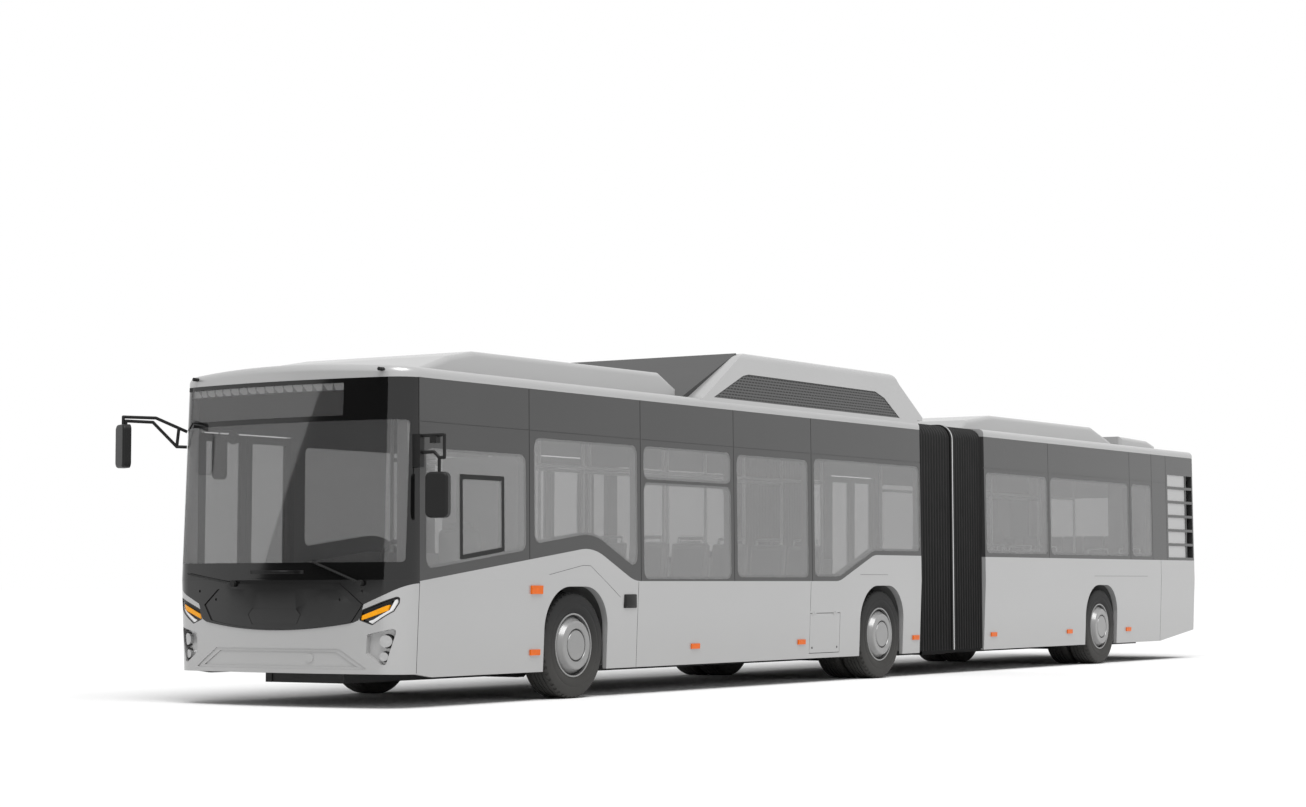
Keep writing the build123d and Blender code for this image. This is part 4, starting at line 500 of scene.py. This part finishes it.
# ------------------------------------------------------------------ bellows
BELLOWS_HALF = 1.235
BELLOWS_LOW_Z = 0.270
BELLOWS_TOP_Z = 2.830
BELLOWS_CORNER_R = 0.165
FOLDS = 12
FOLD_STEPS = 6
CORNER_STEPS = 8
CLOTH_HALVES = (("front", -0.752, -1.5645), ("rear", -1.6355, -2.388))      # name, x of both ends
CLOTH_SHEETS = ((-0.001, 0.024), (-0.062, -0.020))      # how far out a sheet stands, depth of its folds
CLOTH_T = 0.003
TRIM_X = (-1.593, -1.607)
TRIM_OUT = (0.0115, 0.0135)


def arch_loop(made, x, grow):
    """The bellows' section at x: up one side, over the top and down the other, grown outwards by grow."""
    half, top, radius = BELLOWS_HALF + grow, BELLOWS_TOP_Z + grow, BELLOWS_CORNER_R + grow
    path = [Vector((x, half, BELLOWS_LOW_Z))]
    for side, first in ((1, 0), (-1, pi / 2)):
        for i in range(CORNER_STEPS + 1):
            turn = first + pi / 2 * i / CORNER_STEPS
            y, z = side * (half - radius) + radius * cos(turn), top - radius + radius * sin(turn)
            path.append(Vector((x, y, z)))
    path.append(Vector((x, -half, BELLOWS_LOW_Z)))
    loop = [made.verts.new(p) for p in path]
    return [made.edges.new(pair) for pair in zip(loop, loop[1:])]


def folded_cloth(made, x0, x1, outer, depth):
    """Cloth folded in soft pleats between two x places."""
    count = FOLDS * FOLD_STEPS
    before = None
    for i in range(count + 1):
        dip = depth * (0.5 + 0.5 * cos(2 * pi * i / FOLD_STEPS)) ** 2
        loop = arch_loop(made, x0 + (x1 - x0) * i / count, outer - dip)
        if before:
            bmesh.ops.bridge_loops(made, edges=before + loop)
        before = loop


for half_name, x0, x1 in CLOTH_HALVES:
    cloth = bmesh.new()
    for outer, depth in CLOTH_SHEETS:
        folded_cloth(cloth, x0, x1, outer, depth)
    bellows = piece(f"bellows_cloth_{half_name}", cloth, None, bellows_cloth, slot="bellows_cloth", sharp=60)
    wall = bellows.modifiers.new("wall", "SOLIDIFY")
    wall.thickness = CLOTH_T
    wall.offset = 0
    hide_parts(f"bellows_{half_name}")
    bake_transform(bellows)

hoop = bmesh.new()
trim_section = list(zip((TRIM_X[0], TRIM_X[0], TRIM_X[1], TRIM_X[1]), TRIM_OUT + TRIM_OUT[::-1]))
trim_loops = [arch_loop(hoop, x, grow) for x, grow in trim_section]
for near, far in zip(trim_loops, trim_loops[1:] + trim_loops[:1]):
    bmesh.ops.bridge_loops(hoop, edges=near + far)
piece("ring_trim", hoop, "bellows_ring", trim_white, slot="ring_aluminium")

# ------------------------------------------------------------------ seams, a painted crease shade and small trim on the sides
FLAP_TOP_Z = 0.735      # seams end here above the service flap, which is on the left only
ARCH_CREASE_SHADE = ((6.449, 1.105), (5.92, 1.190), (5.80, 1.186), (5.30, 0.90))      # x, z along the front arch's crease, where a black line is painted as the crease's shade
CREASE_SHADE_HALF = 0.0018
front_seams_and_crease_shade = bmesh.new()
rear_lines = bmesh.new()
for side in (1, -1):
    on_side(front_seams_and_crease_shade, side, 5.003, 5.007, 0.256, 1.044)
    on_side(front_seams_and_crease_shade, side, 1.746, 1.750, FLAP_TOP_Z if side > 0 else 0.256, 1.044)
    on_side(front_seams_and_crease_shade, side, PILLAR_X - 0.002, PILLAR_X + 0.002, 0.29, 1.045)
    on_side(rear_lines, side, -7.780, -7.776, 0.262, 1.326)
    on_side(rear_lines, side, -7.3, -5.55, 1.112, 1.115)
    # a black line along the front arch, painted as the shade in the panel's crease
    for (x0, z0), (x1, z1) in zip(ARCH_CREASE_SHADE, ARCH_CREASE_SHADE[1:]):
        for xa, xb in parts_of(x0, x1, 6):
            sloping_strip(
                front_seams_and_crease_shade, side, xa, xb,
                lambda x: z0 + (z1 - z0) * (x - x0) / (x1 - x0) - CREASE_SHADE_HALF,
                lambda x: z0 + (z1 - z0) * (x - x0) / (x1 - x0) + CREASE_SHADE_HALF,
                0.0006,
            )
    on_side(front_seams_and_crease_shade, side, 0.05, 0.68, 1.116, 1.119)

SLIDE_X = (7.120, 7.755)      # rear and front edge of the sliding pane's frame
SLIDE_TOP_Z = 1.950
SLIDE_BAR = 0.040
SLIDE_LAP = 0.005             # how far its level bars run into the upright ones
SLIDE_FOOT = 0.112            # how far it stands above the window band's lower edge
SLIDE_FOOT_BAR = 0.038
SLIDE_PROUD = 0.0012


def slide_foot_z(x):
    """Lower edge of the sliding pane's frame, parallel to the window band's."""
    return BELT_Z + (PILLAR_X - x) * BELT_RISE + SLIDE_FOOT


slide_frame = bmesh.new()
for x0 in (SLIDE_X[0], SLIDE_X[1] - SLIDE_BAR):
    on_side(slide_frame, 1, x0, x0 + SLIDE_BAR, slide_foot_z(x0), SLIDE_TOP_Z, SLIDE_PROUD)
bar_x = (SLIDE_X[0] + SLIDE_BAR - SLIDE_LAP, SLIDE_X[1] - SLIDE_BAR + SLIDE_LAP)
on_side(slide_frame, 1, *bar_x, SLIDE_TOP_Z - SLIDE_BAR, SLIDE_TOP_Z, SLIDE_PROUD)
for xa, xb in parts_of(*bar_x, 6):
    sloping_strip(
        slide_frame, 1, xa, xb, slide_foot_z, lambda x: slide_foot_z(x) + SLIDE_FOOT_BAR, SLIDE_PROUD
    )
piece("sliding_pane_frame", slide_frame, "front_section", satin_black, slot="black_plastic")
# the front seams' piece also carries the black line painted as the arch crease's shade
piece("front_panel_seams_and_crease_shade", front_seams_and_crease_shade, "front_section", seam_black, slot="black_plastic")
piece("rear_panel_seams", rear_lines, "rear_section", seam_black, slot="black_plastic")

fittings = bmesh.new()
add_box(fittings, (5.040, 1.255, 0.800), (5.242, 1.2795, 0.927), 0.009, 3)
add_box(fittings, (5.052, 1.262, 0.812), (5.230, 1.2825, 0.915), 0.012, 3)
piece("side_socket_cap", fittings, "front_section", satin_black, slot="black_plastic")

FLAP_LOCK_Z = 0.36
flap_fittings = bmesh.new()
for x in (1.16, 1.69):
    face_y = side_y(FLAP_LOCK_Z)
    add_rod(flap_fittings, (x, face_y - 0.004, FLAP_LOCK_Z), (x, face_y + 0.001, FLAP_LOCK_Z), 0.012, 20)
piece("flap_locks", flap_fittings, "service_flap", satin_black, slot="black_plastic")

# ------------------------------------------------------------------ front end details
nose_trim = bmesh.new()
on_nose(nose_trim, -0.268, 0.315, 1.112, 1.142)
piece("screen_washer_lid", nose_trim, "front_section", satin_black, slot="black_plastic")
# dark gloss strips painted as the shade inside the washer lid's slots
slot_shades = bmesh.new()
for z in (1.119, 1.127, 1.135):
    on_nose(slot_shades, -0.24, 0.287, z - 0.0018, z + 0.0018, 0.0016)
piece("washer_lid_slot_shades", slot_shades, "front_section", gloss_black, slot="black_gloss")

WIPERS = ((0.89, 1.033, 0.43, 1.208), (-0.448, 1.030, -1.031, 1.112))      # pivot's y, z; tip's y, z
ARM_PROUD = 0.018
BLADE_PROUD = 0.008
BLADE_BEHIND = 0.42           # how far a blade reaches back from its arm's tip
BLADE_BEYOND = 0.02
blades = bmesh.new()
for y0, z0, y1, z1 in WIPERS:
    tip = Vector((nose_x(y1, z1) + ARM_PROUD, y1, z1))
    foot = Vector((nose_x(y0, z0) + ARM_PROUD, y0, z0))
    reach = (tip - foot).normalized()
    near, far = tip - reach * BLADE_BEHIND, tip + reach * BLADE_BEYOND
    for end in (near, far):
        end.x = nose_x(end.y, end.z) + BLADE_PROUD
    add_rod(blades, near, far, 0.0065, 8)
    add_rod(blades, near + Vector((0.01, 0, 0.004)), far + Vector((0.01, 0, 0.004)), 0.005, 8)
    add_rod(blades, tip, Vector((nose_x(y1, z1) + 0.006, y1, z1)), 0.009, 10)
    add_rod(blades, foot + Vector((-0.01, 0, 0)), foot + Vector((0.02, 0, 0)), 0.026, 20)
piece("wiper_blades", blades, "front_section", seal_rubber, slot="black_plastic")

hood = bmesh.new()
on_nose(hood, -1.14, 0.72, 2.698, 2.734, -0.068, 10)
add_box(hood, (8.36, -1.02, 2.40), (8.398, 0.66, 2.733), 0.004)
piece("display_hood", hood, "front_section", satin_black, slot="black_plastic")

FOG_LAMPS = ((1.088, 0.556, 0.050), (1.072, 0.430, 0.036))      # y, z, radius
BEZEL_LIP = 0.009
bezels = bmesh.new()
for side in (1, -1):
    for y, z, r in FOG_LAMPS:
        x = nose_x(y, z) - 0.052
        add_rod(bezels, (x - 0.03, side * y, z), (x - 0.004, side * y, z), r + BEZEL_LIP, 32)
piece("fog_lamp_bezels", bezels, "front_section", satin_black, slot="black_plastic")

MARKER_Y = 1.025
marks = bmesh.new()
for side in (1, -1):
    y = side * MARKER_Y
    add_rod(marks, (8.47, y, 2.80), (8.545, y, 2.80), 0.016, 16)
    add_box(marks, (8.44, y - 0.022, 2.788), (8.53, y + 0.022, 2.806), 0.006)
piece("roof_marker_lamps", marks, "front_section", satin_black, slot="black_plastic")

# ------------------------------------------------------------------ seats
FRONT_BENCHES = [(x, 1) for x in (4.5, 3.74, 2.98, 2.22, 1.46)] + [(x, -1) for x in (4.5, 3.74, 1.4)]
REAR_BENCHES = [(x, 1) for x in (-3.1, -3.86, -4.62, -7.3)] + [(x, -1) for x in (-7.3,)]
BENCH_Y = (0.300, 1.190)
SEAT_AIR = 0.005              # left free at a bench's ends
SEAT_APART = 0.012            # left free beside its middle
FOOT_Z = (0.341, 0.762)
CUSHION_Z = 0.84              # foot of the backrest
BACK_LEAN = radians(-8)
HOOP_Z = 1.40
HOOP_HEIGHT = 0.075
HOOP_INSET = 0.07
SHELL, CLOTH, RAIL = range(3)
DRIVER_SEAT = (               # corners, rounding, steps, finish: cushion, foot, backrest, headrest
    ((7.0, 0.47, 0.895), (7.51, 0.93, 0.965), 0.03, 4, CLOTH),
    ((7.21, 0.62, 0.482), (7.33, 0.78, 0.9), 0.02, 2, SHELL),
    ((6.955, 0.48, 0.95), (7.045, 0.92, 1.50), 0.04, 4, CLOTH),
    ((6.945, 0.58, 1.49), (7.015, 0.82, 1.565), 0.03, 4, CLOTH),
)
BACK_BENCH_Y = [-1.15 + i * 0.31 for i in range(5)]
BACK_BENCH = (                # the same for one place of the rearmost bench: shell, cushion, backrest
    ((-8.69, 0.005, 1.252), (-8.205, 0.30, 1.33), 0.02, 3, SHELL),
    ((-8.67, 0.02, 1.325), (-8.23, 0.285, 1.35), 0.012, 3, CLOTH),
    ((-8.695, 0.005, 1.345), (-8.62, 0.30, 1.678), 0.025, 3, CLOTH),
)


def add_seat(made, x, y0, y1):
    """One moulded seat: pan with a raised lip, leaning back, cloth inserts and a grab hoop."""
    add_box(made, (x - 0.078, y0, 0.760), (x + 0.425, y1, 0.806), 0.018, 3)
    add_box(made, (x - 0.02, y0 + 0.03, 0.802), (x + 0.40, y1 - 0.03, 0.827), 0.012, 3, CLOTH)
    start = len(made.verts)
    add_box(made, (x - 0.066, y0 + 0.008, CUSHION_Z), (x - 0.024, y1 - 0.008, 1.425), 0.02, 4)
    add_box(made, (x - 0.030, y0 + 0.04, 0.88), (x - 0.012, y1 - 0.04, 1.37), 0.008, 3, CLOTH)
    made.verts.ensure_lookup_table()
    foot = Vector((x - 0.045, 0, CUSHION_Z))
    bmesh.ops.rotate(made, cent=foot, matrix=Matrix.Rotation(BACK_LEAN, 3, "Y"), verts=made.verts[start:])
    ends = (y0 + HOOP_INSET, y1 - HOOP_INSET)
    for y in ends:
        add_rod(made, (x - 0.125, y, HOOP_Z), (x - 0.135, y, HOOP_Z + HOOP_HEIGHT), 0.011, 10, RAIL)
    grip = [(x - 0.135, y, HOOP_Z + HOOP_HEIGHT) for y in ends]
    add_rod(made, *grip, 0.011, 10, RAIL)


for name, places, body in (
    ("front_seats", FRONT_BENCHES, "front_section"),
    ("rear_seats", REAR_BENCHES, "rear_section"),
):
    made = bmesh.new()
    for x, side in places:
        near, far = sorted(side * y for y in BENCH_Y)
        centre = (near + far) / 2
        for y0, y1 in ((near + SEAT_AIR, centre - SEAT_APART), (centre + SEAT_APART, far - SEAT_AIR)):
            add_seat(made, x, y0, y1)
            middle = (y0 + y1) / 2
            add_box(made, (x + 0.13, middle - 0.05, FOOT_Z[0]), (x + 0.22, middle + 0.05, FOOT_Z[1]), 0.01)
    if name == "front_seats":
        for box in DRIVER_SEAT:
            add_box(made, *box)
    else:
        for y in BACK_BENCH_Y:
            for low, high, *rest in BACK_BENCH:
                add_box(made, (low[0], y + low[1], low[2]), (high[0], y + high[1], high[2]), *rest)
    seats = piece(
        f"{name}_moulded", made, body, seat_shell, seat_insert, rail_steel, slot="seat_cloth", sharp=40
    )
    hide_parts(name)


# ------------------------------------------------------------------ studio
def stage_sheet(name, made, finish_name, colour, rough=0.5):
    """A sheet of the studio in a dull plain colour."""
    mesh = bpy.data.meshes.new(name)
    made.to_mesh(mesh)
    made.free()
    obj = bpy.data.objects.new(name, mesh)
    bpy.context.collection.objects.link(obj)
    dull = bpy.data.materials.new(finish_name)
    dull.use_nodes = True
    shader = dull.node_tree.nodes["Principled BSDF"]
    shader.inputs["Base Color"].default_value = colour
    shader.inputs["Roughness"].default_value = rough
    shader.inputs["Specular IOR Level"].default_value = 0.0
    mesh.materials.append(dull)
    return obj


sheet = bmesh.new()
bmesh.ops.create_grid(sheet, x_segments=1, y_segments=1, size=400)
studio_floor = stage_sheet("studio_floor", sheet, "studio_white", (0.93, 0.93, 0.93, 1), 0.9)

FLAG_X = 62                   # a dark card ahead of the bus, seen only as a slanted reflection in its screen
FLAG_OUTLINE = ((-4, -1), (-76, -1), (-28, 12), (-12, 17), (-4, 17))
card = bmesh.new()
bmesh.ops.contextual_create(card, geom=[card.verts.new((FLAG_X, y, z)) for y, z in FLAG_OUTLINE])
studio_flag = stage_sheet("studio_flag", card, "flag_black", (0.02, 0.02, 0.02, 1))
studio_flag.visible_camera = False
studio_flag.visible_diffuse = False
studio_flag.visible_shadow = False

world = bpy.data.worlds.new("studio")
bpy.context.scene.world = world
world.use_nodes = True
sky = world.node_tree
rays = sky.nodes.new("ShaderNodeLightPath")


def either(first, second):
    """Whether one of two tests of a light ray holds."""
    larger = sky.nodes.new("ShaderNodeMath")
    larger.operation = "MAXIMUM"
    sky.links.new(first, larger.inputs[0])
    sky.links.new(second, larger.inputs[1])
    return larger.outputs[0]


mirrored = either(rays.outputs["Is Glossy Ray"], rays.outputs["Is Transmission Ray"])
level = sky.nodes.new("ShaderNodeMapRange")
level.inputs["To Min"].default_value = 0.42      # the light that falls on the bus; the eye sees plain white
level.inputs["To Max"].default_value = 1.0
sky.links.new(either(rays.outputs["Is Camera Ray"], mirrored), level.inputs["Value"])
back = sky.nodes["Background"]
sky.links.new(level.outputs["Result"], back.inputs["Strength"])
back.inputs["Color"].default_value = (1, 1, 1, 1)

lamp = bpy.data.lights.new("overhead", "SUN")
lamp.energy = 2.6
lamp.angle = radians(40)
overhead = bpy.data.objects.new("overhead", lamp)
overhead.rotation_euler = Vector((-0.38, -0.42, -1)).to_track_quat("-Z", "Y").to_euler()
bpy.context.collection.objects.link(overhead)

# ------------------------------------------------------------------ camera
CAMERA_AT = (25.4487, 14.6314, 1.0131)
FORWARD = Vector((-0.83821435, -0.54106468, 0.06815941))
RIGHT = Vector((-0.54244904, 0.84008591, -0.00216779))
UP = Vector((0.05608685, 0.03879008, 0.99767209))
lens = bpy.data.cameras.new("camera")
lens.lens = 72.28
lens.sensor_width = 36
lens.shift_y = 0.0017
lens.clip_end = 1000
camera = bpy.data.objects.new("camera", lens)
bpy.context.collection.objects.link(camera)
turn = Matrix((RIGHT, UP, -FORWARD)).transposed().to_4x4()
camera.matrix_world = Matrix.Translation(CAMERA_AT) @ turn
bpy.context.scene.camera = camera
bpy.context.scene.view_settings.view_transform = "Standard"
